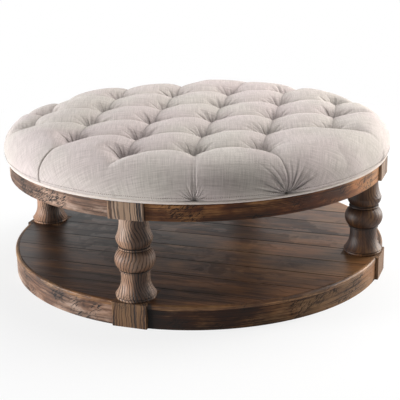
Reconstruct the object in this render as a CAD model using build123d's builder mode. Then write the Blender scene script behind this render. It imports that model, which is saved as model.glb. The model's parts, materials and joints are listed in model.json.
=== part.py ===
from build123d import *
from math import atan2, ceil, cos, degrees, hypot, pi, radians, sin, sqrt
import os

# Round tufted coffee table: a padded round top on four turned legs over a round planked plinth.
# Millimetres. +Z is up, the origin is on the floor under the middle of the table. The planks run
# along X, and the legs stand on the X and Y axes.

# Overall sizes
frame_radius = 600
plinth_height = 72
leg_length = 249
top_rail_height = 51

# Legs and the square blocks above and below them
leg_inset = 54
leg_names = ("right", "back", "left", "front")
block_width = 105
block_depth = 120
block_chamfer = 2

# Turned profile of a leg, from the foot up
foot_radius = 55
foot_ring_height = 8.5
foot_ring_bulge = 2.5
foot_groove = 2.2
foot_groove_depth = 2.5
flare_radius = 59
flare_lip = 2
flare_height = 49.3
flare_hollow = 5
lower_neck_radius = 41.5
lower_neck_height = 20
collar_radius = 44
collar_height = 5
collar_bulge = 2.4
ball_radius = 58.4
ball_height = 61
quirk_radius = 41.5
bead_radius = 43.5
bead_height = 6.5
bead_bulge = 2.6
vase_foot_height = 2
vase_foot_radius = 42
vase_radius = 53.2
vase_rise = 25
vase_swell = 2.6
vase_taper_height = 45
vase_hollow = 2.4
upper_neck_radius = 42

# Top frame
top_rail_thickness = 24
rail_roundover = 2.5
bearer_width = 28
bearer_height = 38
bearer_tenon_length = 16
bearer_tenon_width = 12

# Plinth
shelf_thickness = 13
lip_width = 11.5
lip_round = 5.5
lip_groove = 1.2
base_rail_thickness = 22
base_rail_setback = 1.5
plank_count = 10
edge_plank_strip = 15.2
plank_joint_chamfer = 1.6
tongue_length = 5
tongue_thickness = 4
joist_width = 34
joist_height = 46
joist_place_share = 0.48

# Loose tenons between the rails and the blocks
rail_tenon_length = 40
rail_tenon_thickness = 8
tenon_height_share = 0.6
tenon_fit = 0.15

# Bolts that hold the legs to the blocks
bolt_radius = 4
bolt_reach_in_leg = 45
bolt_end_gap = 2
bolt_fit = 0.4
upper_counterbore_depth = 16
lower_counterbore_depth = 26
counterbore_radius = 12.5
washer_radius = 11
washer_thickness = 1.6
nut_across_flats = 13
nut_thickness = 6.5

# Seat deck and its screws
deck_thickness = 15
deck_inset = 12
screw_radius = 2.2
screw_fit = 0.05
screw_head_radius = 4.5
screw_head_height = 3
screw_bite = 11
screw_head_recess = 8
screw_place_shares = (0.28, 0.68)

# Cushion outline, from its foot at the welt up to the crest of the padding
soft_gap = 0.3
welt_radius = 4.5
welt_overhang = 1.5
cushion_foot_inset = 3.5
cushion_belly_overhang = 13
cushion_belly_height = 33
cushion_shoulder_inset = 8
cushion_shoulder_height = 84
cushion_crest_height = 115
foot_bow_share = 0.09
belly_bow_share = 0.08
shoulder_bow_share = 0.1
flank_bow_share = 0.09

# Tufts: a diamond lattice, a little off the middle of the round
tuft_pitch = 194
tuft_angle_u = 23.9
tuft_angle_v = 99.8
tuft_lattice_x = 59.5
tuft_lattice_y = -3.6
tuft_field_x = -40
tuft_field_y = 32
tuft_field_inset = 73
crown_height = 119
crown_fall = 8
crease_drop = 22
cell_overrun_share = 0.15
core_height = 50
core_inset = 40
crest_place_share = 0.42
pleat_sink = 12
pleat_pinch = 5
pleat_drop = 32
puff_drop = 40
flank_reach = 30

# Twine through the tufts, and the dust cover
tie_radius = 1.5
tie_fit = 0.5
tie_cover = 12
tuft_washer_radius = 10
tuft_washer_thickness = 2
dust_cover_thickness = 1
dust_cover_gap = 0.3

overrun = 1

# Heights and radii that follow from these
leg_top_z = plinth_height + leg_length
deck_z = leg_top_z + top_rail_height
shelf_bottom_z = plinth_height - shelf_thickness
block_half = block_width / 2
top_rail_inner_radius = frame_radius - top_rail_thickness
base_rail_outer_radius = frame_radius - base_rail_setback
base_rail_inner_radius = base_rail_outer_radius - base_rail_thickness
shelf_radius = frame_radius - lip_width
leg_circle_radius = frame_radius - leg_inset
block_inner_face = leg_circle_radius - block_depth / 2
leg_angles = [90 * k for k in range(len(leg_names))]

os.makedirs("parts", exist_ok=True)


def save(piece, name):
    """Label a finished piece and write its STEP file."""
    piece.part.label = name
    export_step(piece.part, f"parts/{name}.step")


def level(z, angle=0):
    """A horizontal plane at height z whose X axis points at this angle round the table."""
    turn = radians(angle)
    return Plane(origin=(0, 0, z), x_dir=(cos(turn), sin(turn), 0), z_dir=(0, 0, 1))


def at_leg(z, angle):
    """A horizontal plane on a leg's axis, with X pointing outwards from the table's middle."""
    turn = radians(angle)
    origin = (leg_circle_radius * cos(turn), leg_circle_radius * sin(turn), z)
    return Plane(origin=origin, x_dir=(cos(turn), sin(turn), 0), z_dir=(0, 0, 1))


def upright(angle, radius=0):
    """A vertical plane through the table's axis: X runs outwards at this angle, Y is up."""
    turn = radians(angle)
    origin = (radius * cos(turn), radius * sin(turn), 0)
    return Plane(origin=origin, x_dir=(cos(turn), sin(turn), 0), z_dir=(sin(turn), -cos(turn), 0))


# Turned legs
leg_bolt_hole_depth = bolt_reach_in_leg + bolt_end_gap
foot_groove_radius = foot_radius - foot_groove_depth
foot_top = foot_ring_height
flare_bottom = foot_top + foot_groove
flare_start = flare_bottom + flare_lip
lower_neck_bottom = flare_start + flare_height
collar_bottom = lower_neck_bottom + lower_neck_height
ball_bottom = collar_bottom + collar_height
ball_top = ball_bottom + ball_height
bead_top = ball_top + bead_height
vase_bottom = bead_top + vase_foot_height
vase_belly = vase_bottom + vase_rise
upper_neck_bottom = vase_belly + vase_taper_height
ball_middle = ball_bottom + (ball_height - bead_height) / 2 + collar_height

for leg_name, leg_angle in zip(leg_names, leg_angles):
    with BuildPart() as leg:
        with BuildSketch(at_leg(plinth_height, leg_angle) * Plane.XZ):
            with BuildLine():
                Line((0, 0), (foot_radius, 0))
                ThreePointArc(
                    (foot_radius, 0),
                    (foot_radius + foot_ring_bulge, foot_top / 2),
                    (foot_radius, foot_top),
                )
                Line((foot_radius, foot_top), (foot_groove_radius, foot_top))
                Line((foot_groove_radius, foot_top), (foot_groove_radius, flare_bottom))
                Line((foot_groove_radius, flare_bottom), (flare_radius, flare_bottom))
                Line((flare_radius, flare_bottom), (flare_radius, flare_start))
                SagittaArc((flare_radius, flare_start), (lower_neck_radius, lower_neck_bottom), flare_hollow)
                Line((lower_neck_radius, lower_neck_bottom), (lower_neck_radius, collar_bottom))
                Line((lower_neck_radius, collar_bottom), (collar_radius, collar_bottom))
                ThreePointArc(
                    (collar_radius, collar_bottom),
                    (collar_radius + collar_bulge, collar_bottom + collar_height / 2),
                    (collar_radius, ball_bottom),
                )
                ThreePointArc(
                    (collar_radius, ball_bottom),
                    (ball_radius, ball_middle),
                    (quirk_radius, ball_top),
                )
                Line((quirk_radius, ball_top), (bead_radius, ball_top))
                ThreePointArc(
                    (bead_radius, ball_top),
                    (bead_radius + bead_bulge, ball_top + bead_height / 2),
                    (bead_radius, bead_top),
                )
                Line((bead_radius, bead_top), (vase_foot_radius, bead_top))
                Line((vase_foot_radius, bead_top), (vase_foot_radius, vase_bottom))
                SagittaArc((vase_foot_radius, vase_bottom), (vase_radius, vase_belly), -vase_swell)
                SagittaArc((vase_radius, vase_belly), (upper_neck_radius, upper_neck_bottom), vase_hollow)
                Line((upper_neck_radius, upper_neck_bottom), (upper_neck_radius, leg_length))
                Line((upper_neck_radius, leg_length), (0, leg_length))
                Line((0, leg_length), (0, 0))
            make_face()
        revolve(axis=Axis(at_leg(0, leg_angle).origin, (0, 0, 1)))
        with BuildSketch(at_leg(plinth_height, leg_angle)):
            Circle(bolt_radius + bolt_fit)
        extrude(amount=leg_bolt_hole_depth, mode=Mode.SUBTRACT)
        with BuildSketch(at_leg(leg_top_z, leg_angle)):
            Circle(bolt_radius + bolt_fit)
        extrude(amount=-leg_bolt_hole_depth, mode=Mode.SUBTRACT)
    save(leg, f"{leg_name}_leg")


# Square blocks above and below the legs, mortised for the rails and drilled for the bolts
top_rail_middle_radius = frame_radius - top_rail_thickness / 2
base_rail_middle_radius = base_rail_outer_radius - base_rail_thickness / 2
base_rail_height = shelf_bottom_z
top_rail_middle_z = leg_top_z + top_rail_height / 2
base_rail_middle_z = base_rail_height / 2
bearer_bottom_z = deck_z - bearer_height
joist_bottom_z = shelf_bottom_z - joist_height


def tenon_place(rail_radius):
    """How far out a rail's tenon stands at the face of the block."""
    return sqrt(rail_radius**2 - block_half**2)


def square_block(angle, bottom, height):
    """A block on a leg's axis, with its outer upright edges softened."""
    with BuildPart() as block:
        with BuildSketch(at_leg(bottom, angle)):
            Rectangle(block_depth, block_width)
        extrude(amount=height)
        outward = Axis((0, 0, 0), (cos(radians(angle)), sin(radians(angle)), 0))
        outer_edges = block.edges().filter_by(Axis.Z).group_by(outward)[-1]
        chamfer(outer_edges, block_chamfer)
    return block.part


def rail_mortises(angle, rail_radius, middle_z, height):
    """Two mortises, one in each side of a block, for the rails' loose tenons."""
    offset_out = tenon_place(rail_radius) - leg_circle_radius
    with BuildPart() as mortises:
        for side in (-1, 1):
            with BuildSketch(at_leg(middle_z - height / 2 - tenon_fit, angle)):
                with Locations((offset_out, side * block_half)):
                    Rectangle(rail_tenon_thickness + 2 * tenon_fit, rail_tenon_length + 2 * bolt_end_gap)
            extrude(amount=height + 2 * tenon_fit)
    return mortises.part


def bearer_mortise(angle, middle_z, height):
    """The mortise for a bearer or beam in a block's inner face."""
    with BuildPart() as mortise:
        with BuildSketch(at_leg(middle_z - height / 2 - tenon_fit, angle)):
            with Locations((-block_depth / 2, 0)):
                Rectangle(2 * (bearer_tenon_length + tenon_fit), bearer_tenon_width + 2 * tenon_fit)
        extrude(amount=height + 2 * tenon_fit)
    return mortise.part


top_tenon_height = top_rail_height * tenon_height_share
base_tenon_height = base_rail_height * tenon_height_share
bearer_tenon_height = bearer_height * tenon_height_share
beam_tenon_height = joist_height * tenon_height_share
bearer_middle_z = bearer_bottom_z + bearer_height / 2
beam_middle_z = joist_bottom_z + joist_height / 2

for leg_name, leg_angle in zip(leg_names, leg_angles):
    with BuildPart() as top_block:
        add(square_block(leg_angle, leg_top_z, top_rail_height))
        mortises = rail_mortises(leg_angle, top_rail_middle_radius, top_rail_middle_z, top_tenon_height)
        add(mortises, mode=Mode.SUBTRACT)
        add(bearer_mortise(leg_angle, bearer_middle_z, bearer_tenon_height), mode=Mode.SUBTRACT)
        with BuildSketch(at_leg(leg_top_z, leg_angle)):
            Circle(bolt_radius + bolt_fit)
        extrude(amount=top_rail_height, mode=Mode.SUBTRACT)
        with BuildSketch(at_leg(deck_z, leg_angle)):
            Circle(counterbore_radius)
        extrude(amount=-upper_counterbore_depth, mode=Mode.SUBTRACT)
    save(top_block, f"{leg_name}_top_block")

    with BuildPart() as base_block:
        add(square_block(leg_angle, 0, plinth_height))
        mortises = rail_mortises(leg_angle, base_rail_middle_radius, base_rail_middle_z, base_tenon_height)
        add(mortises, mode=Mode.SUBTRACT)
        add(bearer_mortise(leg_angle, beam_middle_z, beam_tenon_height), mode=Mode.SUBTRACT)
        with BuildSketch(at_leg(0, leg_angle)):
            Circle(bolt_radius + bolt_fit)
        extrude(amount=plinth_height, mode=Mode.SUBTRACT)
        with BuildSketch(at_leg(0, leg_angle)):
            Circle(counterbore_radius)
        extrude(amount=lower_counterbore_depth, mode=Mode.SUBTRACT)
    save(base_block, f"{leg_name}_base_block")


# Curved rails between the blocks, and the rounded lips of the shelf
def quarter_ring(angle, bottom, height, outer, inner):
    """A quarter of a ring that ends square against the sides of two neighbouring blocks."""
    with BuildPart() as ring:
        with BuildSketch(level(bottom, angle)):
            Circle(outer)
            Circle(inner, mode=Mode.SUBTRACT)
            with Locations((block_half, block_half)):
                Rectangle(outer, outer, align=(Align.MIN, Align.MIN), mode=Mode.INTERSECT)
        extrude(amount=height)
    return ring.part


def end_mortises(angle, rail_radius, middle_z, height):
    """The mortises in both ends of a curved rail."""
    reach = tenon_place(rail_radius)
    depth = rail_tenon_length / 2 + bolt_end_gap
    width = rail_tenon_thickness + 2 * tenon_fit
    with BuildPart() as mortises:
        with BuildSketch(level(middle_z - height / 2 - tenon_fit, angle)):
            with Locations((reach, block_half + depth / 2)):
                Rectangle(width, depth)
            with Locations((block_half + depth / 2, reach)):
                Rectangle(depth, width)
        extrude(amount=height + 2 * tenon_fit)
    return mortises.part


def outer_edges(piece, outer, top_only=False):
    """The long curved edges on the outer face, the upper one alone or both."""
    circles = piece.edges().filter_by(GeomType.CIRCLE)
    arcs = circles.filter_by(lambda edge: abs(edge.radius - outer) < overrun / 100)
    by_height = arcs.group_by(Axis.Z)
    return by_height[-1] if top_only else by_height[0] + by_height[-1]


for index, leg_name in enumerate(leg_names):
    next_name = leg_names[(index + 1) % len(leg_names)]
    corner = f"{leg_name}_{next_name}"
    rail_angle = leg_angles[index]

    with BuildPart() as top_rail:
        add(quarter_ring(rail_angle, leg_top_z, top_rail_height, frame_radius, top_rail_inner_radius))
        fillet(outer_edges(top_rail, frame_radius), rail_roundover)
        mortises = end_mortises(rail_angle, top_rail_middle_radius, top_rail_middle_z, top_tenon_height)
        add(mortises, mode=Mode.SUBTRACT)
    save(top_rail, f"{corner}_top_rail")

    with BuildPart() as base_rail:
        add(quarter_ring(rail_angle, 0, base_rail_height, base_rail_outer_radius, base_rail_inner_radius))
        fillet(outer_edges(base_rail, base_rail_outer_radius, top_only=True), rail_roundover)
        mortises = end_mortises(rail_angle, base_rail_middle_radius, base_rail_middle_z, base_tenon_height)
        add(mortises, mode=Mode.SUBTRACT)
    save(base_rail, f"{corner}_base_rail")

    with BuildPart() as shelf_lip:
        add(quarter_ring(rail_angle, shelf_bottom_z, shelf_thickness, frame_radius, shelf_radius))
        fillet(outer_edges(shelf_lip, frame_radius, top_only=True), lip_round)
        chamfer(outer_edges(shelf_lip, shelf_radius, top_only=True), lip_groove)
    save(shelf_lip, f"{corner}_shelf_lip")

with BuildPart() as top_rail_tenons:
    for leg_angle in leg_angles:
        with BuildSketch(at_leg(top_rail_middle_z - top_tenon_height / 2, leg_angle)):
            along = tenon_place(top_rail_middle_radius) - leg_circle_radius
            with Locations((along, -block_half), (along, block_half)):
                Rectangle(rail_tenon_thickness, rail_tenon_length)
        extrude(amount=top_tenon_height)
save(top_rail_tenons, "top_rail_tenons")

with BuildPart() as base_rail_tenons:
    for leg_angle in leg_angles:
        with BuildSketch(at_leg(base_rail_middle_z - base_tenon_height / 2, leg_angle)):
            along = tenon_place(base_rail_middle_radius) - leg_circle_radius
            with Locations((along, -block_half), (along, block_half)):
                Rectangle(rail_tenon_thickness, rail_tenon_length)
        extrude(amount=base_tenon_height)
save(base_rail_tenons, "base_rail_tenons")


# Cross bearers of the top frame, half lapped in the middle
def cross_member(angle, bottom, width, height, tenon_height, lap_above):
    """A straight member from block to block, with stub tenons and half of a cross lap."""
    with BuildPart() as member:
        with BuildSketch(level(bottom, angle)):
            Rectangle(2 * block_inner_face, width)
        extrude(amount=height)
        with BuildSketch(level(bottom + (height - tenon_height) / 2, angle)):
            Rectangle(2 * (block_inner_face + bearer_tenon_length), bearer_tenon_width)
        extrude(amount=tenon_height)
        with BuildSketch(level(bottom + (height / 2 if lap_above else 0), angle)):
            Rectangle(width, width)
        extrude(amount=height / 2, mode=Mode.SUBTRACT)
    return member.part


screw_places = [sign * share * frame_radius for share in screw_place_shares for sign in (-1, 1)]

for bearer_name, bearer_angle, lap_above in (("seat_bearer_x", 0, True), ("seat_bearer_y", 90, False)):
    with BuildPart() as bearer:
        sizes = bearer_width, bearer_height, bearer_tenon_height
        add(cross_member(bearer_angle, bearer_bottom_z, *sizes, lap_above))
        with BuildSketch(level(bearer_bottom_z, bearer_angle)):
            with Locations(*[(place, 0) for place in screw_places]):
                Circle(screw_radius + screw_fit)
        extrude(amount=bearer_height, mode=Mode.SUBTRACT)
        with BuildSketch(level(bearer_bottom_z, bearer_angle)):
            with Locations(*[(place, 0) for place in screw_places]):
                Circle(screw_head_radius + bolt_fit)
        extrude(amount=screw_head_recess, mode=Mode.SUBTRACT)
    save(bearer, bearer_name)

with BuildPart() as seat_screws:
    for bearer_angle in (0, 90):
        for place in screw_places:
            head_z = bearer_bottom_z + screw_head_recess - screw_head_height
            with BuildSketch(level(head_z, bearer_angle)):
                with Locations((place, 0)):
                    Circle(screw_head_radius)
            extrude(amount=screw_head_height)
            with BuildSketch(level(head_z, bearer_angle)):
                with Locations((place, 0)):
                    Circle(screw_radius)
            extrude(amount=deck_z + screw_bite - head_z)
save(seat_screws, "seat_screws")


# Shelf beam and joists, cross lapped under the planks
joist_places = [share * frame_radius for share in (-joist_place_share, 0, joist_place_share)]

with BuildPart() as shelf_beam:
    with BuildSketch(Plane.XY.offset(joist_bottom_z)):
        Rectangle(2 * block_inner_face, joist_width)
    extrude(amount=joist_height)
    with BuildSketch(Plane.XY.offset(beam_middle_z - beam_tenon_height / 2)):
        Rectangle(2 * (block_inner_face + bearer_tenon_length), bearer_tenon_width)
    extrude(amount=beam_tenon_height)
    with BuildSketch(Plane.XY.offset(beam_middle_z)):
        with Locations(*[(place, 0) for place in joist_places]):
            Rectangle(joist_width, joist_width)
    extrude(amount=joist_height / 2, mode=Mode.SUBTRACT)
save(shelf_beam, "shelf_beam")

for joist_name, joist_x in zip(("left_shelf_joist", "middle_shelf_joist", "right_shelf_joist"), joist_places):
    with BuildPart() as joist:
        with BuildSketch(Plane.XY.offset(joist_bottom_z)):
            if joist_x == 0:
                Rectangle(joist_width, 2 * block_inner_face)
            else:
                with Locations((joist_x, 0)):
                    Rectangle(joist_width, 2 * base_rail_inner_radius)
                Circle(base_rail_inner_radius, mode=Mode.INTERSECT)
        extrude(amount=joist_height)
        if joist_x == 0:
            with BuildSketch(Plane.XY.offset(beam_middle_z - beam_tenon_height / 2)):
                Rectangle(bearer_tenon_width, 2 * (block_inner_face + bearer_tenon_length))
            extrude(amount=beam_tenon_height)
        with BuildSketch(Plane.XY.offset(joist_bottom_z)):
            with Locations((joist_x, 0)):
                Rectangle(joist_width, joist_width)
        extrude(amount=joist_height / 2, mode=Mode.SUBTRACT)
    save(joist, joist_name)


# Shelf planks, tongued and grooved, each cut to the round and let in round the blocks
# An edge plank keeps a strip behind the front or back block, and the planks between share the rest.
inner_field_half = block_inner_face - edge_plank_strip
plank_width = 2 * inner_field_half / (plank_count - 2)
plank_edges = [index * plank_width - inner_field_half for index in range(plank_count - 1)]
plank_edges = [-shelf_radius, *plank_edges, shelf_radius]
tongue_middle_z = shelf_bottom_z + shelf_thickness / 2


def plank_section(low, high, groove_low, tongue_high):
    """The end grain outline of a plank, drawn from its lower left corner."""
    half_tongue = tongue_thickness / 2
    points = [(low, shelf_bottom_z), (high, shelf_bottom_z)]
    if tongue_high:
        points += [
            (high, tongue_middle_z - half_tongue),
            (high + tongue_length, tongue_middle_z - half_tongue),
            (high + tongue_length, tongue_middle_z + half_tongue),
            (high, tongue_middle_z + half_tongue),
        ]
    points += [(high, plinth_height - plank_joint_chamfer), (high - plank_joint_chamfer, plinth_height)]
    points += [(low + plank_joint_chamfer, plinth_height), (low, plinth_height - plank_joint_chamfer)]
    if groove_low:
        groove_half = half_tongue + tenon_fit
        groove_end = low + tongue_length + tenon_fit
        points += [
            (low, tongue_middle_z + groove_half),
            (groove_end, tongue_middle_z + groove_half),
            (groove_end, tongue_middle_z - groove_half),
            (low, tongue_middle_z - groove_half),
        ]
    return points


for index, (low_edge, high_edge) in enumerate(zip(plank_edges, plank_edges[1:])):
    with BuildPart() as plank:
        with BuildSketch(Plane.YZ.offset(-frame_radius)):
            with BuildLine():
                Polyline(*plank_section(low_edge, high_edge, index > 0, index < plank_count - 1), close=True)
            make_face()
        extrude(amount=2 * frame_radius)
        with BuildSketch(Plane.XY.offset(shelf_bottom_z - overrun)):
            Circle(shelf_radius)
            with Locations((leg_circle_radius, 0), (-leg_circle_radius, 0)):
                Rectangle(block_depth, block_width, mode=Mode.SUBTRACT)
            with Locations((0, leg_circle_radius), (0, -leg_circle_radius)):
                Rectangle(block_width, block_depth, mode=Mode.SUBTRACT)
        extrude(amount=shelf_thickness + 2 * overrun, mode=Mode.INTERSECT)
    save(plank, f"shelf_plank_{index + 1:02d}")


# Bolts, washers and nuts: the upper set is fitted from above, the lower set from below
upper_seat_z = deck_z - upper_counterbore_depth
lower_seat_z = lower_counterbore_depth


def discs(places, z, thickness, outer, inner):
    """A flat washer at each place."""
    with BuildPart() as washers:
        with BuildSketch(Plane.XY.offset(z)):
            with Locations(*places):
                Circle(outer)
                Circle(inner, mode=Mode.SUBTRACT)
        extrude(amount=thickness)
    return washers


leg_places = [(leg_circle_radius * cos(radians(a)), leg_circle_radius * sin(radians(a))) for a in leg_angles]
nut_radius = nut_across_flats / sqrt(3)

for set_name, seat_z, outward, leg_face_z in (
    ("upper", upper_seat_z, 1, leg_top_z),
    ("lower", lower_seat_z, -1, plinth_height),
):
    washer_z = seat_z if outward > 0 else seat_z - washer_thickness
    nut_z = washer_z + washer_thickness if outward > 0 else washer_z - nut_thickness
    bolt_end_z = (nut_z + nut_thickness if outward > 0 else nut_z) + outward * bolt_end_gap
    washers = discs(leg_places, washer_z, washer_thickness, washer_radius, bolt_radius + bolt_fit)
    save(washers, f"{set_name}_leg_washers")

    with BuildPart() as nuts:
        with BuildSketch(Plane.XY.offset(nut_z)):
            with Locations(*leg_places):
                RegularPolygon(nut_radius, 6)
                Circle(bolt_radius + screw_fit, mode=Mode.SUBTRACT)
        extrude(amount=nut_thickness)
    save(nuts, f"{set_name}_leg_nuts")

    with BuildPart() as bolts:
        with BuildSketch(Plane.XY.offset(bolt_end_z)):
            with Locations(*leg_places):
                Circle(bolt_radius)
        extrude(amount=leg_face_z - outward * bolt_reach_in_leg - bolt_end_z)
    save(bolts, f"{set_name}_leg_bolts")


# Where the tufts lie
tuft_field_radius = frame_radius - tuft_field_inset


def lattice_point(i, j):
    """A node of the diamond lattice, in plan."""
    u, v = radians(tuft_angle_u), radians(tuft_angle_v)
    return (
        tuft_lattice_x + tuft_pitch * (i * cos(u) + j * cos(v)),
        tuft_lattice_y + tuft_pitch * (i * sin(u) + j * sin(v)),
    )


def in_field(point):
    """True where a tuft lies inside the tufted field."""
    return hypot(point[0] - tuft_field_x, point[1] - tuft_field_y) < tuft_field_radius


lattice_reach = ceil(2 * tuft_field_radius / tuft_pitch)
lattice_span = range(-lattice_reach, lattice_reach + 1)
lattice_nodes = [(i, j) for i in lattice_span for j in lattice_span]
tufts = {node: lattice_point(*node) for node in lattice_nodes if in_field(lattice_point(*node))}
tuft_places = list(tufts.values())

# Seat deck, twine, washers and dust cover
deck_radius = frame_radius - deck_inset
deck_top_z = deck_z + deck_thickness
tie_bottom_z = deck_z - tuft_washer_thickness
washer_clear = tuft_washer_radius + overrun


def tie_foot(point):
    """Where a tuft's twine goes through the deck: moved in, clear of the frame, where it has to be."""
    x, y = point
    over_block = min(abs(x), abs(y)) < block_half + washer_clear
    reach = (block_inner_face if over_block else top_rail_inner_radius) - washer_clear
    scale = min(1, reach / hypot(x, y))
    x, y = x * scale, y * scale
    bearer_clear = bearer_width / 2 + washer_clear
    if abs(y) < bearer_clear:
        y = bearer_clear if y >= 0 else -bearer_clear
    if abs(x) < bearer_clear:
        x = bearer_clear if x >= 0 else -bearer_clear
    return (x, y)


tie_feet = [tie_foot(point) for point in tuft_places]
tie_top_z = deck_z + crown_height - 2 * crease_drop - tie_cover


def strand(foot, head, bottom, radius, end_gap=0):
    """Twine that runs straight up through the deck and from there in a line to its tuft."""
    knee = Vector(foot[0], foot[1], deck_top_z)
    rise = Vector(head[0], head[1], tie_top_z) - knee
    with BuildPart() as twine:
        with BuildSketch(Plane.XY.offset(bottom)):
            with Locations(foot):
                Circle(radius)
        extrude(amount=deck_top_z - bottom)
        with Locations(knee):
            Sphere(radius)
        with BuildSketch(Plane(origin=knee, z_dir=rise)):
            Circle(radius)
        extrude(amount=rise.length + end_gap)
    return twine.part


with BuildPart() as tuft_ties:
    for foot, head in zip(tie_feet, tuft_places):
        add(strand(foot, head, tie_bottom_z, tie_radius))
save(tuft_ties, "tuft_ties")

washers = discs(tie_feet, tie_bottom_z, tuft_washer_thickness, tuft_washer_radius, tie_radius + screw_fit)
save(washers, "tuft_washers")

with BuildPart() as seat_deck:
    with BuildSketch(Plane.XY.offset(deck_z)):
        Circle(deck_radius)
        with Locations(*tie_feet):
            Circle(tie_radius + tie_fit, mode=Mode.SUBTRACT)
    extrude(amount=deck_thickness)
    for bearer_angle in (0, 90):
        with BuildSketch(level(deck_z, bearer_angle)):
            with Locations(*[(place, 0) for place in screw_places]):
                Circle(screw_radius + screw_fit)
        extrude(amount=screw_bite + screw_fit, mode=Mode.SUBTRACT)
save(seat_deck, "seat_deck")

dust_cover_z = bearer_bottom_z - dust_cover_gap - dust_cover_thickness
with BuildPart() as dust_cover:
    with BuildSketch(Plane.XY.offset(dust_cover_z)):
        Circle(top_rail_inner_radius - dust_cover_gap)
        for leg_angle, leg_place in zip(leg_angles, leg_places):
            with Locations(leg_place):
                Rectangle(
                    block_depth + 2 * dust_cover_gap,
                    block_width + 2 * dust_cover_gap,
                    rotation=leg_angle,
                    mode=Mode.SUBTRACT,
                )
    extrude(amount=dust_cover_thickness)
save(dust_cover, "dust_cover")

# Piping round the foot of the cushion
welt_z = deck_z + soft_gap + welt_radius
welt_circle_radius = frame_radius + welt_overhang
with BuildPart() as welt_cord:
    with Locations((0, 0, welt_z)):
        Torus(welt_circle_radius, welt_radius)
save(welt_cord, "welt_cord")


# The cushion's border: puffs between the outer tufts, with a pleat down from each of them
cushion_foot_radius = frame_radius - cushion_foot_inset
cushion_belly_radius = frame_radius + cushion_belly_overhang
cushion_shoulder_radius = frame_radius - cushion_shoulder_inset


def cell_corners(i, j):
    """The four nodes round one cell of the lattice."""
    return [(i, j), (i + 1, j), (i + 1, j + 1), (i, j + 1)]


cells = [node for node in lattice_nodes if sum(corner in tufts for corner in cell_corners(*node)) > 2]


def over_the_edge(cell):
    """True for a cell at the rim that would reach past the shoulder of the cushion."""
    return any(hypot(*lattice_point(*node)) > cushion_shoulder_radius for node in cell_corners(*cell))


open_cells = [cell for cell in cells if over_the_edge(cell)]


def on_rim(node):
    """True for a tuft that has an open side, with no cell of the lattice there."""
    i, j = node
    return not all((i - a, j - b) in cells for a in (0, 1) for b in (0, 1))


def azimuth(point):
    """The angle of a point round the table, in degrees."""
    return degrees(atan2(point[1], point[0]))


rim_nodes = sorted((node for node in tufts if on_rim(node)), key=lambda node: azimuth(tufts[node]))
cushion_base_z = deck_z + soft_gap
neck_top_z = cushion_base_z + 2 * welt_radius + soft_gap


def crest_radius(tuft_radius):
    """How far out the border's crest lies, for a section that starts at this radius."""
    return tuft_radius + crest_place_share * (cushion_belly_radius - tuft_radius)


def border_section(angle, tuft_radius, sink, pinch, drop):
    """The outline of the border in one upright plane through the table's axis."""
    belly = (cushion_belly_radius - pinch, deck_z + cushion_belly_height)
    shoulder = (cushion_shoulder_radius - pinch, deck_z + cushion_shoulder_height - pinch)
    crest = (crest_radius(tuft_radius), deck_z + cushion_crest_height - sink)
    inner = (tuft_radius - flank_reach, crest[1] - drop)
    corners = [
        (inner[0], cushion_base_z),
        (cushion_foot_radius, cushion_base_z),
        (cushion_foot_radius, neck_top_z),
        belly,
        shoulder,
        crest,
        inner,
    ]
    bows = (foot_bow_share, belly_bow_share, shoulder_bow_share, flank_bow_share)
    with BuildSketch(upright(angle)) as section:
        with BuildLine():
            Polyline(*corners[:3])
            for start, end, bow in zip(corners[2:-1], corners[3:], bows):
                SagittaArc(start, end, -bow * hypot(end[0] - start[0], end[1] - start[1]))
            Line(corners[-1], corners[0])
        make_face()
    return section.sketch


def pleat_section(node):
    """The border's outline at a pleat, through a tuft."""
    return border_section(azimuth(tufts[node]), hypot(*tufts[node]), pleat_sink, pleat_pinch, pleat_drop)


def middle(points):
    """The middle of some points in plan."""
    return tuple(sum(values) / len(points) for values in zip(*points))


def puff_place(first, second):
    """Where the puff between two rim tufts starts: between them, and further in over an open cell."""
    chord_middle = middle([tufts[first], tufts[second]])
    for cell in open_cells:
        corners = cell_corners(*cell)
        if first in corners and second in corners:
            behind = [tufts[node] for node in corners if node in tufts and node not in (first, second)]
            return middle([chord_middle] + behind)
    return chord_middle


def puff_section(place):
    """The border's outline in the middle of a puff."""
    return border_section(azimuth(place), hypot(*place), 0, 0, puff_drop)


border_pieces = []
for index, first in enumerate(rim_nodes):
    second = rim_nodes[(index + 1) % len(rim_nodes)]
    sections = [pleat_section(first), puff_section(puff_place(first, second)), pleat_section(second)]
    with BuildPart() as border:
        loft(sections=[section.face() for section in sections])
    border_pieces.append(border.part)

# The cushion's middle: one dome for each cell of the lattice, with creases where the domes meet
overreach = 1 + cell_overrun_share
dome_fall = crease_drop * overreach**2
dome_base_z = deck_z + core_height
turn_u, turn_v = radians(tuft_angle_u), radians(tuft_angle_v)

with BuildPart() as dome:
    for share in (-1, 0, 1):
        offset = share * overreach * tuft_pitch / 2
        top_z = deck_z + crown_height - abs(share) * dome_fall
        edge_z = top_z - dome_fall
        half_width = overreach * tuft_pitch / 2
        section_plane = Plane(
            origin=(offset * cos(turn_u), offset * sin(turn_u), 0),
            x_dir=(cos(turn_v), sin(turn_v), 0),
            z_dir=(sin(turn_v), -cos(turn_v), 0),
        )
        with BuildSketch(section_plane):
            with BuildLine():
                Polyline(
                    (half_width, edge_z),
                    (half_width, dome_base_z),
                    (-half_width, dome_base_z),
                    (-half_width, edge_z),
                )
                ThreePointArc((-half_width, edge_z), (0, top_z), (half_width, edge_z))
            make_face()
    loft()


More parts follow.
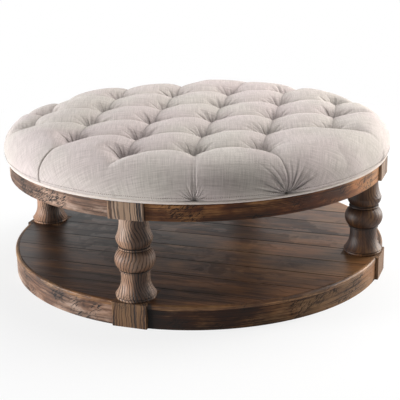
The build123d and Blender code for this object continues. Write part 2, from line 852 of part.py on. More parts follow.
def dome_over(cell):
    """The dome over a cell, set lower the further out it is, and cut short where the cell is open."""
    corners = cell_corners(*cell)
    x, y = middle([lattice_point(*node) for node in corners])
    lowering = crown_fall * (hypot(x, y) / frame_radius) ** 2
    with BuildPart() as cell_dome:
        add(dome.part.moved(Location((x, y, -lowering))))
        if cell in open_cells:
            rim_pair = [node for node in rim_nodes if node in corners]
            with BuildSketch(Plane.XY.offset(deck_z)):
                Circle(crest_radius(hypot(*puff_place(*rim_pair))))
            extrude(amount=2 * crown_height, mode=Mode.INTERSECT)
    return cell_dome.part


with BuildPart() as cushion:
    with BuildSketch(Plane.XY.offset(cushion_base_z)):
        Circle(frame_radius - core_inset)
    extrude(amount=core_height + overrun)
    for border in border_pieces:
        add(border)
    for cell in cells:
        add(dome_over(cell))
    with BuildSketch(Plane.XY.offset(cushion_base_z)):
        Circle(deck_radius + soft_gap)
    extrude(amount=deck_thickness, mode=Mode.SUBTRACT)
    for foot, head in zip(tie_feet, tuft_places):
        add(strand(foot, head, cushion_base_z, tie_radius + tie_fit, tie_fit), mode=Mode.SUBTRACT)
save(cushion, "cushion")
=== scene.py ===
"""Looks of a round tufted coffee table, built round its CAD frame: linen cushion, welt and weathered oak.

Everything is in metres, in the frame's own axes. The cushion, welt, stitching and dust cover are grids
worked out here. The wooden and steel pieces are the CAD nodes, dressed in solid grain.
"""

import json
import logging
import math
from dataclasses import dataclass, field, replace
from enum import Enum
from functools import partialmethod
from typing import Any, Sequence

import bpy
import numpy as np
from mathutils import Matrix


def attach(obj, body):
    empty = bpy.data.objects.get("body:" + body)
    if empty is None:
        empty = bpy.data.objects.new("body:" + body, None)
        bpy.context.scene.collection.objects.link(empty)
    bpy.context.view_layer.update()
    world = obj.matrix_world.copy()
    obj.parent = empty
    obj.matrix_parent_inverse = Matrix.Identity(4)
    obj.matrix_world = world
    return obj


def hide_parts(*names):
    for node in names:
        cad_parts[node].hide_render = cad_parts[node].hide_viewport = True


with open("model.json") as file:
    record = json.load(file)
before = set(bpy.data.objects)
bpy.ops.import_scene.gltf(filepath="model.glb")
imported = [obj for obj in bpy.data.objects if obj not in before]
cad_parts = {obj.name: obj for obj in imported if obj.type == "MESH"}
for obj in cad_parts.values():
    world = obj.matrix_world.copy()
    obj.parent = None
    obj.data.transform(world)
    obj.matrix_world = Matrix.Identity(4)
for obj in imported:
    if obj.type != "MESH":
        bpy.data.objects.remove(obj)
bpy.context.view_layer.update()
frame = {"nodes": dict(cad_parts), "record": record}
log = logging.getLogger("coffee_table")

Colour = tuple[float, float, float]
Tone = tuple[int, int, int]
Node = tuple[int, int]

QUARTER = math.pi / 2


def colour(tone: Tone) -> Colour:
    """A colour written as 0 to 255 on screen, as the linear values that a shader takes."""
    shares = (channel / 255 for channel in tone)
    return tuple(s / 12.92 if s <= 0.04045 else ((s + 0.055) / 1.055) ** 2.4 for s in shares)


class Value:
    """A number in a shader, which adds Math nodes when it is reckoned with."""

    def __init__(self, shade: "Shade", source: Any) -> None:
        """Keep the material's builder and the socket or plain number that the value comes from."""
        self.shade = shade
        self.source = source

    def math(self, operation: str, *others: Any) -> "Value":
        """Apply the Math node of that operation to this value and the others, in the node's order."""
        made = self.shade.node("ShaderNodeMath", {"operation": operation}, dict(enumerate((self, *others))))
        return Value(self.shade, made.outputs[0])

    __add__ = __radd__ = partialmethod(math, "ADD")
    __mul__ = __rmul__ = partialmethod(math, "MULTIPLY")
    __sub__ = partialmethod(math, "SUBTRACT")
    __truediv__ = partialmethod(math, "DIVIDE")
    __pow__ = partialmethod(math, "POWER")
    __neg__ = partialmethod(math, "MULTIPLY", -1.0)
    size = partialmethod(math, "ABSOLUTE")
    sign = partialmethod(math, "SIGN")
    floor = partialmethod(math, "FLOOR")
    fract = partialmethod(math, "FRACT")
    root = partialmethod(math, "SQRT")
    sine = partialmethod(math, "SINE")
    cosine = partialmethod(math, "COSINE")
    angle_over = partialmethod(math, "ARCTAN2")
    most = partialmethod(math, "MAXIMUM")

    def __rsub__(self, other: Any) -> "Value":
        """Difference from a number."""
        return Value(self.shade, other) - self

    def between(self, low: float, high: float) -> "Value":
        """Rise smoothly from 0 where the value is low to 1 where it is high."""
        sockets = {0: self, 1: low, 2: high, 3: 0.0, 4: 1.0}
        made = self.shade.node("ShaderNodeMapRange", {"interpolation_type": "SMOOTHSTEP"}, sockets)
        return Value(self.shade, made.outputs[0])


class Shade:
    """Builds the nodes of one material."""

    def __init__(self, name: str) -> None:
        """Start a material that holds one Principled shader."""
        self.material = bpy.data.materials.new(name)
        self.material.use_nodes = True
        self.tree = self.material.node_tree
        self.tree.nodes.clear()
        self.surface = self.node("ShaderNodeBsdfPrincipled")
        self.node("ShaderNodeOutputMaterial", {}, {"Surface": self.surface.outputs[0]})

    def feed(self, socket: bpy.types.NodeSocket, source: Any) -> None:
        """Link a value or socket to a socket, or set it to a number or a colour."""
        source = source.source if isinstance(source, Value) else source
        if isinstance(source, bpy.types.NodeSocket):
            self.tree.links.new(source, socket)
        else:
            socket.default_value = (*source, 1.0) if socket.type == "RGBA" else source

    def node(self, kind: str, settings: dict[str, Any] | None = None,
             sockets: dict | None = None) -> bpy.types.Node:
        """Add one node.

        Args:
            kind: the node's type.
            settings: its settings, set first. For a colour ramp, "stops" holds places and colours.
            sockets: what goes into its sockets, by name or number: a Value, a socket, a number or a colour.

        Returns:
            The node.
        """
        made = self.tree.nodes.new(kind)
        for name, setting in (settings or {}).items():
            if name != "stops":
                setattr(made, name, setting)
                continue
            elements = made.color_ramp.elements
            for place, _ in setting[len(elements):]:
                elements.new(place)
            for element, (place, tint) in zip(elements, setting):
                element.position = place
                element.color = (*tint, 1.0)
        for name, source in (sockets or {}).items():
            self.feed(made.inputs[name], source)
        return made

    def place(self, source: Any = None) -> tuple[Value, Value, Value]:
        """Split a vector, or the place on the object where none is given, into three values."""
        if source is None:
            source = self.node("ShaderNodeTexCoord").outputs["Object"]
        made = self.node("ShaderNodeSeparateXYZ", {}, {0: source})
        return tuple(Value(self, made.outputs[axis]) for axis in range(3))

    def noise(self, parts: Sequence[Any], detail: float = 3.0, roughness: float = 0.55,
              bend: float = 0.0) -> Value:
        """Noise between about 0 and 1 at a place whose parts are already scaled."""
        where = self.node("ShaderNodeCombineXYZ", {}, dict(enumerate(parts))).outputs[0]
        sockets = {"Vector": where, "Scale": 1.0, "Detail": detail, "Roughness": roughness,
                   "Distortion": bend}
        return Value(self, self.node("ShaderNodeTexNoise", {}, sockets).outputs[0])

    def ramp(self, factor: Value, stops: Sequence[tuple[float, Colour]]) -> bpy.types.NodeSocket:
        """A colour picked from a ramp of places and colours."""
        return self.node("ShaderNodeValToRGB", {"stops": list(stops)}, {0: factor}).outputs[0]

    def blend(self, factor: Any, first: Any, second: Any, how: str = "MIX") -> bpy.types.NodeSocket:
        """Mix two colours by a factor, in the way named."""
        settings = {"data_type": "RGBA", "blend_type": how, "clamp_factor": True}
        return self.node("ShaderNodeMix", settings, {0: factor, 6: first, 7: second}).outputs[2]

    def bump(self, height: Value, distance: float, under: Any = None) -> bpy.types.NodeSocket:
        """A normal bent by a height between 0 and 1, whose full height is the distance."""
        sockets = {"Height": height, "Distance": distance}
        if under is not None:
            sockets["Normal"] = under
        return self.node("ShaderNodeBump", {}, sockets).outputs[0]

    def dress(self, **sockets: Any) -> bpy.types.Material:
        """Feed the Principled shader's sockets, named with low lines for spaces, and return the material."""
        for name, source in sockets.items():
            name = name.replace("_", " ").title().replace("Ior", "IOR")
            self.feed(self.surface.inputs[name], source)
        return self.material


class Grain(Enum):
    """How the grain of a wooden piece runs."""

    ALONG_X = "along the planks"
    ROUND = "round the ring"
    UPRIGHT = "upright in the blocks"
    TURNED = "upright in the legs, following their turning"


# How far one board's pattern lies from the next one's: along the grain and across it
BOARD_STEPS = {Grain.ALONG_X: (1.37, 0.61), Grain.ROUND: (1.93, 0.37), Grain.UPRIGHT: (0.83, 0.0),
               Grain.TURNED: (0.83, 0.0)}


class Noise(Enum):
    """The wood's noises.

    Each has its scale along the grain and across it, its shift, its step from board to board, its detail
    and its roughness.
    """

    FIBRE = (18, 700, 0, 0, 2, 0.55)
    STREAK = (4, 110, 0, 0, 4, 0.7)
    CLOUD = (6, 14, 0, 2.3, 4, 0.65)
    PATCH = (11, 13, 3, 1.7, 3, 0.55)
    WARMTH = (5, 9, 7, 3.7, 3, 0.55)
    VEIN = (1.3, 120, 0, 1, 2, 0.55)
    RING_STRENGTH = (5, 15, 2, 1, 2, 0.55)
    RING_BREAK = (26, 34, 5, 1, 3, 0.55)
    RING_WIDTH = (16, 50, 0, 0, 2, 0.55)
    FLAME = (9, 6, 0, 0, 1, 0.55)
    FLICKER = (34, 40, 0, 0, 2, 0.55)
    SWAY = (3, 7, 0, 0, 2, 0.55)
    RIPPLE = (26, 16, 0, 0, 2, 0.55)


@dataclass(frozen=True)
class Spot:
    """Where a point lies in its board: along the grain, two ways across it, and the board's own number."""

    shade: Shade
    along: Value
    side: Value
    deep: Value
    board: Value

    def noise(self, kind: Noise) -> Value:
        """One of the wood's noises at this place."""
        along, across, shift, step, detail, roughness = kind.value
        deep = self.deep * across + self.board * step
        return self.shade.noise((self.along * along + shift, self.side * across, deep), detail, roughness)


@dataclass(frozen=True)
class WeatheredOak:
    """Oak with brushed growth rings, dark stain in the pores and a bleached bloom on the high parts.

    The tones are those of the dark, middle and pale wood and of the bloom.
    """

    name: str
    grain: Grain
    tones: tuple[Tone, Tone, Tone, Tone]
    rings: float = 0.5
    ring_pitch: float = 0.0045
    streaks: float = 0.4
    clouds: float = 0.6
    bloom_share: float = 0.4
    stain_share: float = 0.5
    marks: float = 0.5
    veins: float = 0.0
    joint_stain: float = 0.0
    brushing: float = 0.0012
    roughness: float = 0.62
    gloss: float = 0.35
    sheen: float = 0.0
    warmth: float = 0.4
    warm_tint: Colour = (1.0, 0.72, 0.5)
    # The next three fields paint light and shade: the wood paler towards +x along the shelf or towards one
    # end of each quarter of a ring, and darker mid-way round it.
    paling: float = 0.0
    light_drift_middle: float = 0.45
    painted_shade_dip: float = 0.0
    # The fields down to the ball's heights paint shade on one side of a leg, half as strong on its ball, and
    # darken the ball all round.
    painted_side_shade: float = 0.0
    shaded_way: tuple[float, float] = (0.68, -0.73)
    side_shade_band: tuple[float, float] = (0.74, 0.94)
    side_shade_tint: Colour = (0.2, 0.15, 0.12)
    ball_darkening: float = 0.0
    ball: tuple[float, float] = (0.158, 0.222)
    # Heights of the leg's turned grooves, darkened with painted shade
    shaded_grooves: tuple[float, ...] = ()
    groove_reach: float = 0.0022
    leg_circle: float = 0.546
    leg_girth: float = 0.045
    leg_lines: int = 31
    flame: float = 58.0
    flicker: float = 7.0
    block_half: float = 0.0525
    plank_width: float = 0.1177
    plank_reach: float = 0.5885
    joint_reach: tuple[float, float] = (0.0048, 0.0016)
    pith: tuple[float, float] = (0.103, 0.147)
    ring_pith: tuple[float, float] = (-0.3, -0.42)

    def spot(self, shade: Shade) -> Spot:
        """Work out where a point lies in its board.

        Args:
            shade: the material's builder.

        Returns:
            The place. In a leg the places across are those of the nearest point of a plain pole.
        """
        x, y, z = shade.place()
        step, deep_step = BOARD_STEPS[self.grain]
        if self.grain is Grain.ALONG_X:
            board = ((y + self.plank_reach) / self.plank_width).floor()
            return Spot(shade, x + board * step, y, z + board * deep_step, board)
        if self.grain is Grain.ROUND:
            angle = y.angle_over(x)
            board = (angle / QUARTER).floor()
            radius = (x * x + y * y).root()
            return Spot(shade, angle * self.leg_circle + board * step, z, radius + board * deep_step, board)
        on_x = x.size().math("GREATER_THAN", y.size())
        off_x = x - x.sign() * on_x * self.leg_circle
        off_y = y - y.sign() * (1 - on_x) * self.leg_circle
        board = on_x * 2 + (x + y).sign()
        if self.grain is Grain.TURNED:
            off = (off_x * off_x + off_y * off_y).root() / self.leg_girth
            off_x, off_y = off_x / off, off_y / off
        return Spot(shade, z + board * step, off_x, off_y, board)

    def ring_lines(self, spot: Spot) -> Value:
        """Growth rings: noise over the distance from a pith beside the board, swayed along the grain.

        On a leg they are a sine of the angle round the pole, bent by slow noise into flames.

        Args:
            spot: the place in the board.

        Returns:
            0 in the hard dark rings and 1 in the pale ones.
        """
        strength = spot.noise(Noise.RING_STRENGTH).between(0.3, 0.55)
        if self.grain is Grain.TURNED:
            flames = (spot.noise(Noise.FLAME) - 0.5) * self.flame
            flames = flames + (spot.noise(Noise.FLICKER) - 0.5) * self.flicker
            wave = (spot.deep.angle_over(spot.side) * self.leg_lines + flames).sine()
            width = (spot.noise(Noise.RING_WIDTH) - 0.5) * 2.2
            broken = spot.noise(Noise.RING_BREAK).between(0.36, 0.6)
            return 1 - (1 - (wave + width).between(-0.9, -0.2)) * (strength * 0.4 + broken * 0.45 + 0.15)
        sway = (spot.noise(Noise.SWAY) - 0.5) * 0.03 + (spot.noise(Noise.RIPPLE) - 0.5) * 0.009
        side, deep = spot.side + self.pith[0], spot.deep + self.pith[1]
        if self.grain is Grain.ROUND:
            side, deep = spot.side * 2.2 + self.ring_pith[0], spot.deep + self.ring_pith[1]
        far = (side * side + deep * deep).root() + sway
        rings = spot.shade.noise((far / self.ring_pitch, spot.along * 1.6, spot.board * 3.1), 2.5, 0.6)
        return 1 - (1 - rings.between(0.4, 0.5)) * (strength * 0.75 + 0.25)

    def paleness(self, spot: Spot, lines: Value, fibre: Value, streak: Value, cloud: Value) -> Value:
        """How pale the wood is.

        Args:
            spot: the place in the board.
            lines: its growth rings.
            fibre: its finest noise.
            streak: its streaks.
            cloud: its clouds.

        Returns:
            Their sum, with each board's own tone, and painted light and shade: paler along the shelf or
            towards one end of each quarter of a ring, and darker mid-way round it.
        """
        tone = spot.shade.noise((spot.board * 5.7, spot.along * 0.7, 0.5), 1)
        pale = lines * self.rings + streak * self.streaks + (fibre - 0.5) * 0.3 + (tone - 0.5) * 0.3
        pale = pale + (cloud - 0.5) * self.clouds + (0.9 - self.rings - self.streaks) * 0.5
        # Painted light and shade: paler towards +x or along each quarter, darker mid-way round it
        if self.paling:
            x, y, _ = spot.shade.place()
            share = (y.angle_over(x) / QUARTER).fract()
            rise = x if self.grain is Grain.ALONG_X else share - self.light_drift_middle
            pale = pale + rise * self.paling + (share * math.tau).cosine() * self.painted_shade_dip
        return pale

    def shaded_side_and_ball(self, spot: Spot) -> Value:
        """Painted shade on one side of a leg, half as dark on its ball, with the ball darker all round."""
        _, _, z = spot.shade.place()
        way = (spot.side * self.shaded_way[0] + spot.deep * self.shaded_way[1]) / self.leg_girth
        low, high = self.ball
        bulge = z.between(low, low + 0.014) * (1 - z.between(high - 0.017, high))
        side = way.between(*self.side_shade_band) * self.painted_side_shade * (1 - bulge * 0.5)
        return side.most(bulge * self.ball_darkening)

    def stain(self, spot: Spot, marks: Value, fibre: Value, patch: Value) -> Value:
        """How much dark stain, painted shadow and painted shade lie on the wood.

        Args:
            spot: the place in the board.
            marks: its pores and tool marks.
            fibre: its finest noise, which frays the stain beside the blocks.
            patch: its patches, which sway the stain in the grooves.

        Returns:
            The most of what lies in the marks, in veins and along the planks' joints, with a painted shadow
            on a ring close beside a block and painted shade in each groove of a leg.
        """
        x, y, z = spot.shade.place()
        stain = marks
        if self.veins:
            stain = stain.most(spot.noise(Noise.VEIN).between(0.6, 0.68) * self.veins)
        if self.joint_stain:
            share = ((spot.side + self.plank_reach) / self.plank_width).fract()
            low, high = (self.plank_width / 2 - reach for reach in self.joint_reach)
            joint = ((share - 0.5).size() * self.plank_width).between(low, high)
            wear = spot.shade.noise((spot.along * 14, spot.board * 3.3, 2.0))
            stain = stain.most(joint * (wear * 0.5 + 0.5) * self.joint_stain)
        # Painted shadow: a dark strip on the rail just past the anticlockwise side of each block, as if cast
        # by the block.
        if self.grain is Grain.ROUND:
            past = (y.angle_over(x) / QUARTER).fract() * (self.leg_circle * QUARTER)
            past = past + (fibre - 0.5) * 0.003 + z * 0.03 - 0.008
            stain = stain.most((1 - past.between(self.block_half - 0.002, self.block_half + 0.004)) * 0.92)
        # Painted shade in the leg's turned grooves
        for groove in self.shaded_grooves:
            off = (z - groove + (patch - 0.5) * 0.001).size()
            stain = stain.most((1 - off.between(self.groove_reach * 0.5, self.groove_reach)) * 0.85)
        return stain

    def material(self) -> bpy.types.Material:
        """Build the finish.

        Returns:
            The material. Rings, streaks and fibres set the tone, a cloudy bloom bleaches the high parts, and
            dark stain lies in the pores, in short tool marks and along the joints of the planks.
            Painted shade darkens one side of a leg and its grooves, a painted shadow lies beside the blocks,
            and painted light and shade drift along the shelf and round the rails.
        """
        shade = Shade(self.name)
        spot = self.spot(shade)
        lines = self.ring_lines(spot)
        kinds = (Noise.FIBRE, Noise.STREAK, Noise.CLOUD, Noise.PATCH)
        fibre, streak, cloud, patch = (spot.noise(kind) for kind in kinds)
        dark, middle, pale, bloom = (colour(tone) for tone in self.tones)

        paleness = self.paleness(spot, lines, fibre, streak, cloud)
        wood = shade.ramp(paleness, [(0.12, dark), (0.45, middle), (0.8, pale)])
        pores = 1 - streak.between(0.3, 0.45)
        bleached = cloud.between(0.62 - self.bloom_share * 0.3, 0.75) * (1 - pores) * self.bloom_share
        wood = shade.blend(bleached, wood, bloom)
        warm = spot.noise(Noise.WARMTH).between(0.45, 0.65)
        if self.grain is Grain.ALONG_X and self.paling:
            warm = warm.most((-spot.side).between(0.1, 0.42))
        wood = shade.blend(warm * self.warmth, wood, self.warm_tint, "MULTIPLY")
        # Painted shade on one side of each leg, and its ball darkened
        if self.painted_side_shade:
            wood = shade.blend(self.shaded_side_and_ball(spot), wood, self.side_shade_tint, "MULTIPLY")
        slant, cross = spot.along * 0.8 + spot.side * 0.6, spot.side * 0.8 - spot.along * 0.6
        nicks = shade.noise((slant * 75, cross * 290, spot.deep * 160), 3, 0.6, bend=0.6)
        nicks = nicks.between(0.5, 0.57) * patch.between(0.5, 0.6) * self.marks
        # Dark stain, with the painted shadow and painted shade added in
        stain = self.stain(spot, (pores * self.stain_share).most(nicks), fibre, patch)
        wood = shade.blend(stain, wood, tuple(0.3 * channel for channel in dark))
        height = lines * 0.4 + (1 - pores) * 0.25 + fibre * 0.15 + (1 - nicks) * 0.2
        return shade.dress(
            base_color=wood,
            roughness=self.roughness + (1 - lines) * 0.1 + stain * 0.1,
            normal=shade.bump(height, self.brushing),
            specular_ior_level=self.gloss,
            coat_weight=self.sheen,
            coat_roughness=0.3,
        )


@dataclass(frozen=True)
class Linen:
    """Plain woven linen: uneven threads both ways, slubs, and fine gathers that run out from the tufts."""

    name: str
    tone: Tone
    shadow: Tone
    thread: float = 0.0011
    wander: float = 0.0012
    lean: float = 19.3
    cool: Colour = (0.975, 1.0, 0.955)
    rose: Colour = (1.0, 0.968, 0.975)
    weave_depth: float = 0.0005
    gathers: bool = True
    gather_lines: int = 11
    gather_depth: float = 0.006
    foot_lines: int = 31
    foot_depth: float = 0.011
    # Strength of the painted shade in the creases and folds
    crease_shade_strength: float = 0.62

    def material(self) -> bpy.types.Material:
        """Build the finish.

        Returns:
            The material, laid out on the piece's UV map, which holds flat cloth in metres. The piece's gather
            attributes hold the way out from the nearest tuft or pleat's foot and how strongly the cloth is
            gathered, and another attribute holds where painted shade darkens the creases.
        """
        shade = Shade(self.name)
        u, v, _ = shade.place(shade.node("ShaderNodeUVMap", {"uv_map": "cloth"}).outputs[0])
        turn = math.radians(self.lean)
        warp = u * math.cos(turn) + v * math.sin(turn)
        weft = v * math.cos(turn) - u * math.sin(turn)
        stray_warp = (shade.noise((warp * 60, weft * 9, 0.0), 2) - 0.5) * self.wander
        stray_weft = (shade.noise((warp * 9, weft * 60, 4.0), 2) - 0.5) * self.wander
        step = math.tau / self.thread
        over = ((warp + stray_warp) * step).sine() * ((weft + stray_weft) * step).sine() * 0.5 + 0.5
        slub_warp = shade.noise((warp * 420, weft * 14, 1.0), 3, 0.65)
        slub_weft = shade.noise((warp * 14, weft * 420, 7.0), 3, 0.65)
        slubs = slub_warp * 0.5 + slub_weft * 0.5
        mottle = shade.noise((warp * 7, weft * 7, 2.0))
        paling = slubs.between(0.36, 0.64) * 0.62 + over * 0.2 + mottle * 0.18
        cast = shade.noise((u * 3.5 + 9, v * 3.5, 5.0), 2).between(0.35, 0.65)
        cloth = shade.blend(paling, colour(self.shadow), colour(self.tone))
        cloth = shade.blend(1.0, cloth, shade.blend(cast, self.cool, self.rose), "MULTIPLY")
        normal = shade.bump(over * 0.45 + slubs.between(0.3, 0.7) * 0.55, self.weave_depth)
        if self.gathers:
            tuft = self.gather_height(shade, "gather", self.gather_lines, 7.0)
            foot = self.gather_height(shade, "foot_gather", self.foot_lines, 1.5)
            # Painted shade: creases, tucks, short folds, deep tufts and the fold valleys at the pleats' feet
            # are darkened towards a dim copy of the shadow tone.
            hollow = shade.node("ShaderNodeAttribute", {"attribute_name": "hollow"}).outputs["Fac"]
            painted_shade_colour = tuple(0.42 * channel for channel in colour(self.shadow))
            cloth = shade.blend((foot * 0.42).most(hollow) * self.crease_shade_strength, cloth, painted_shade_colour)
            normal = shade.bump(1 - tuft, self.gather_depth, normal)
            normal = shade.bump(1 - foot, self.foot_depth, normal)
        return shade.dress(
            base_color=cloth,
            roughness=0.88,
            normal=normal,
            sheen_weight=0.25,
            sheen_roughness=0.5,
            specular_ior_level=0.25,
        )

    def gather_height(self, shade: Shade, attribute: str, lines: int, wander: float) -> Value:
        """Fine folds that fan out from a tuft or from the foot of a pleat.

        Args:
            shade: the material's builder.
            attribute: the piece's attribute that holds the way out from there and how strong the folds are.
            lines: how many folds would fill a full turn.
            wander: how far, in radians of their sine, the folds stray.

        Returns:
            The depth of the folds: a sine of the angle, wandering and uneven, times their strength.
        """
        source = shade.node("ShaderNodeAttribute", {"attribute_name": attribute}).outputs["Vector"]
        out_x, out_y, strength = shade.place(source)
        far = (out_x * out_x + out_y * out_y).root() + 0.01
        wobble = (shade.noise((out_x * 5, out_y * 5, 3.0), 2) - 0.5) * wander
        uneven = shade.noise((out_x / far * 2.6, out_y / far * 2.6, lines), 2).between(0.35, 0.6)
        wave = ((out_y.angle_over(out_x) * lines + wobble).sine() * 0.5 + 0.5) ** 2.2
        return wave * strength * (uneven * 0.8 + 0.2)


@dataclass(frozen=True)
class PlainFinish:
    """A simple finish with fine speckle, for pieces that are seldom seen."""

    name: str
    tone: Tone
    shadow: Tone
    roughness: float = 0.8
    metallic: float = 0.0
    scale: Sequence[float] = (300.0, 300.0, 300.0)
    depth: float = 0.0002

    def material(self) -> bpy.types.Material:
        """Build the finish: two tones mixed by noise, and the same noise as a slight bump."""
        shade = Shade(self.name)
        speckle = shade.noise([part * scale for part, scale in zip(shade.place(), self.scale)], 4, 0.6)
        return shade.dress(
            base_color=shade.blend(speckle.between(0.35, 0.65), colour(self.shadow), colour(self.tone)),
            roughness=speckle * 0.15 + (self.roughness - 0.07),
            metallic=self.metallic,
            normal=shade.bump(speckle, self.depth),
        )


def build_piece(name: str, points: np.ndarray, quads: np.ndarray, material: bpy.types.Material,
                flat: np.ndarray | None = None, triangles: np.ndarray | None = None) -> bpy.types.Object:
    """Put a mesh that numpy has worked out into the scene.

    Args:
        name: the piece's name.
        points: its corners, one row each, in metres.
        quads: the corners of each four-sided face, anticlockwise seen from outside.
        material: its finish.
        flat: where each corner lies on the flat cloth, for the UV map.
        triangles: the corners of each three-sided face, where it has any.

    Returns:
        The piece.
    """
    corners, starts = quads.ravel(), np.arange(len(quads)) * 4
    if triangles is not None:
        starts = np.concatenate([starts, quads.size + np.arange(len(triangles)) * 3])
        corners = np.concatenate([corners, triangles.ravel()])
    mesh = bpy.data.meshes.new(name)
    mesh.vertices.add(len(points))
    mesh.vertices.foreach_set("co", np.asarray(points, np.float32).ravel())
    mesh.loops.add(len(corners))
    mesh.loops.foreach_set("vertex_index", corners.astype(np.int32))
    mesh.polygons.add(len(starts))
    mesh.polygons.foreach_set("loop_start", starts.astype(np.int32))
    mesh.polygons.foreach_set("use_smooth", np.ones(len(starts), bool))
    mesh.update(calc_edges=True)
    if flat is not None:
        layer = mesh.uv_layers.new(name="cloth")
        layer.data.foreach_set("uv", np.asarray(flat, np.float32)[corners].ravel())
    if mesh.validate():
        log.warning("%s had faces that needed mending", name)
    mesh.materials.append(material)
    piece = bpy.data.objects.new(name, mesh)
    bpy.context.scene.collection.objects.link(piece)
    return piece


def grid_quads(rows: int, columns: int, closed: bool = False) -> np.ndarray:
    """Faces of a grid whose corners run row by row.

    Args:
        rows: corners down.
        columns: corners across.
        closed: True where the last column joins the first.

    Returns:
        One row of four corners for each face: along the row first, then down.
    """
    wide = columns if closed else columns - 1
    down, across = np.meshgrid(np.arange(rows - 1), np.arange(wide), indexing="ij")
    right, start = (across + 1) % columns, down * columns
    faces = [start + across, start + right, start + columns + right, start + columns + across]
    return np.stack(faces, axis=-1).reshape(-1, 4)


def smooth_run(rows: np.ndarray, steps: int) -> np.ndarray:
    """Draw a smooth curve through rows of points.

    Args:
        rows: the points, or rows of a grid, that it goes through.
        steps: how many steps it takes from each to the next.

    Returns:
        Its points: a cubic between each two, whose slope at each is half the way between its neighbours.
    """
    ends = np.concatenate([2 * rows[:1] - rows[1:2], rows, 2 * rows[-1:] - rows[-2:-1]])
    a, b, c, d = (ends[shift:len(ends) - 3 + shift, None] for shift in range(4))
    share = (np.arange(steps) / steps).reshape(-1, *[1] * (rows.ndim - 1))
    runs = 2 * b + (c - a) * share + (2 * a - 5 * b + 4 * c - d) * share**2
    runs = runs + (3 * b - a - 3 * c + d) * share**3
    return np.concatenate([(runs / 2).reshape(-1, *rows.shape[1:]), rows[-1:]])


def calm(moves: np.ndarray, quads: np.ndarray, rounds: int) -> np.ndarray:
    """Even out the moves of a mesh's points.

    Args:
        moves: how far each point moves.
        quads: the mesh's faces.
        rounds: how often each move is mixed with the mean of its neighbours.

    Returns:
        The evened moves.
    """
    ends = np.concatenate([quads[:, pair] for pair in ([0, 1], [1, 2], [2, 3], [3, 0])])
    sides = np.bincount(ends.ravel(), minlength=len(moves))[:, None]
    for _ in range(rounds):
        total = np.zeros_like(moves)
        np.add.at(total, ends[:, 0], moves[ends[:, 1]])
        np.add.at(total, ends[:, 1], moves[ends[:, 0]])
        moves = (moves + total / sides) / 2
    return moves


def ease(share: np.ndarray) -> np.ndarray:
    """Smooth rise from 0 to 1."""
    return share * share * (3 - 2 * share)


def dense_ends(count: int, pull: float) -> np.ndarray:
    """Steps from 0 to 1: an even ramp mixed with a cosine, which crowds them towards both ends."""
    even = np.linspace(0, 1, count + 1)
    return (1 - pull) * even + pull * (1 - np.cos(np.pi * even)) / 2


def facing(angle: float) -> np.ndarray:
    """The step of length 1 that points at an angle in plan."""
    return np.array([math.cos(angle), math.sin(angle)])


def on_circle(radius: Any, angle: np.ndarray) -> np.ndarray:
    """Points in plan at a radius and at each angle."""
    return np.column_stack([radius * np.cos(angle), radius * np.sin(angle)])


def off_stroke(points: np.ndarray, start: np.ndarray, end: np.ndarray) -> tuple[np.ndarray, np.ndarray]:
    """Measure points against a straight stroke.

    Args:
        points: places on the flat cloth.
        start: where the stroke starts.
        end: where it ends.

    Returns:
        How far along the stroke each point lies, from 0 to 1, and how far off it, in metres.
    """
    run = end - start
    share = np.clip(((points - start) @ run) / (run @ run), 0, 1)
    return share, np.linalg.norm(points - start - share[:, None] * run, axis=1)


@dataclass
class TuftLattice:
    """The diamond lattice of the tufts, slanted and a little off the middle of the round."""

    pitch: float = 0.194
    angle_u: float = math.radians(23.9)
    angle_v: float = math.radians(99.8)
    origin: tuple[float, float] = (0.0595, -0.0036)
    field_middle: tuple[float, float] = (-0.040, 0.032)
    field_radius: float = 0.527
    reach: int = 6

    def __post_init__(self) -> None:
        """List the tufts, the creases between them, the full cells and the tufts on the rim."""
        span = range(-self.reach, self.reach + 1)
        nodes = [(i, j) for i in span for j in span]
        places = {n: self.point(n) for n in nodes}
        self.tufts = {
            n: p for n, p in places.items() if np.hypot(*(p - self.field_middle)) < self.field_radius
        }
        self.creases = [
            (n, m) for n in self.tufts for m in ((n[0] + 1, n[1]), (n[0], n[1] + 1)) if m in self.tufts
        ]
        met = {n: sum(corner in self.tufts for corner in self.corners(n)) for n in nodes}
        self.cells = [n for n in nodes if met[n] == 4]
        rim = [(i, j) for i, j in self.tufts if min(met[i - a, j - b] for a in (0, 1) for b in (0, 1)) < 3]
        self.rim = sorted(rim, key=lambda n: math.atan2(self.tufts[n][1], self.tufts[n][0]))

    def point(self, node: Node) -> np.ndarray:
        """Where a node of the lattice lies in plan."""
        i, j = node
        return self.origin + self.pitch * (i * facing(self.angle_u) + j * facing(self.angle_v))

    def corners(self, cell: Node) -> list[Node]:
        """The four nodes round a cell."""
        i, j = cell
        return [(i, j), (i + 1, j), (i + 1, j + 1), (i, j + 1)]

    def between(self, first: Node, second: Node) -> list[Node]:
        """The tufts that a crease runs through from one rim tuft to the next."""
        if abs(first[0] - second[0]) + abs(first[1] - second[1]) == 1:
            return [first, second]
        inner = [n for n in ((first[0], second[1]), (second[0], first[1])) if n in self.tufts]
        return [first, min(inner, key=lambda n: np.hypot(*self.tufts[n])), second]


@dataclass(frozen=True)
class Pleat:
    """How the cloth is folded from a tuft on the rim down to the welt.

    The drift is how far its foot lies round from the tuft, in degrees. The line is the fold's own depth
    at the tuft, half way and at the foot. A double pleat has two lines, its gap apart. A fan of gathers
    stands on the foot, or at a share of the way down to it.
    """

    drift: float = 0.0
    early: float = 2.0
    line: tuple[float, float, float] = (0.003, 0.0012, 0.0016)
    gap: float = 0.0
    fan: int = 5
    fan_length: float = 0.03
    fan_depth: float = 0.0012
    fan_spread: float = 0.7
    fan_stand: float = 1.0
    foot_fan: float = 0.025


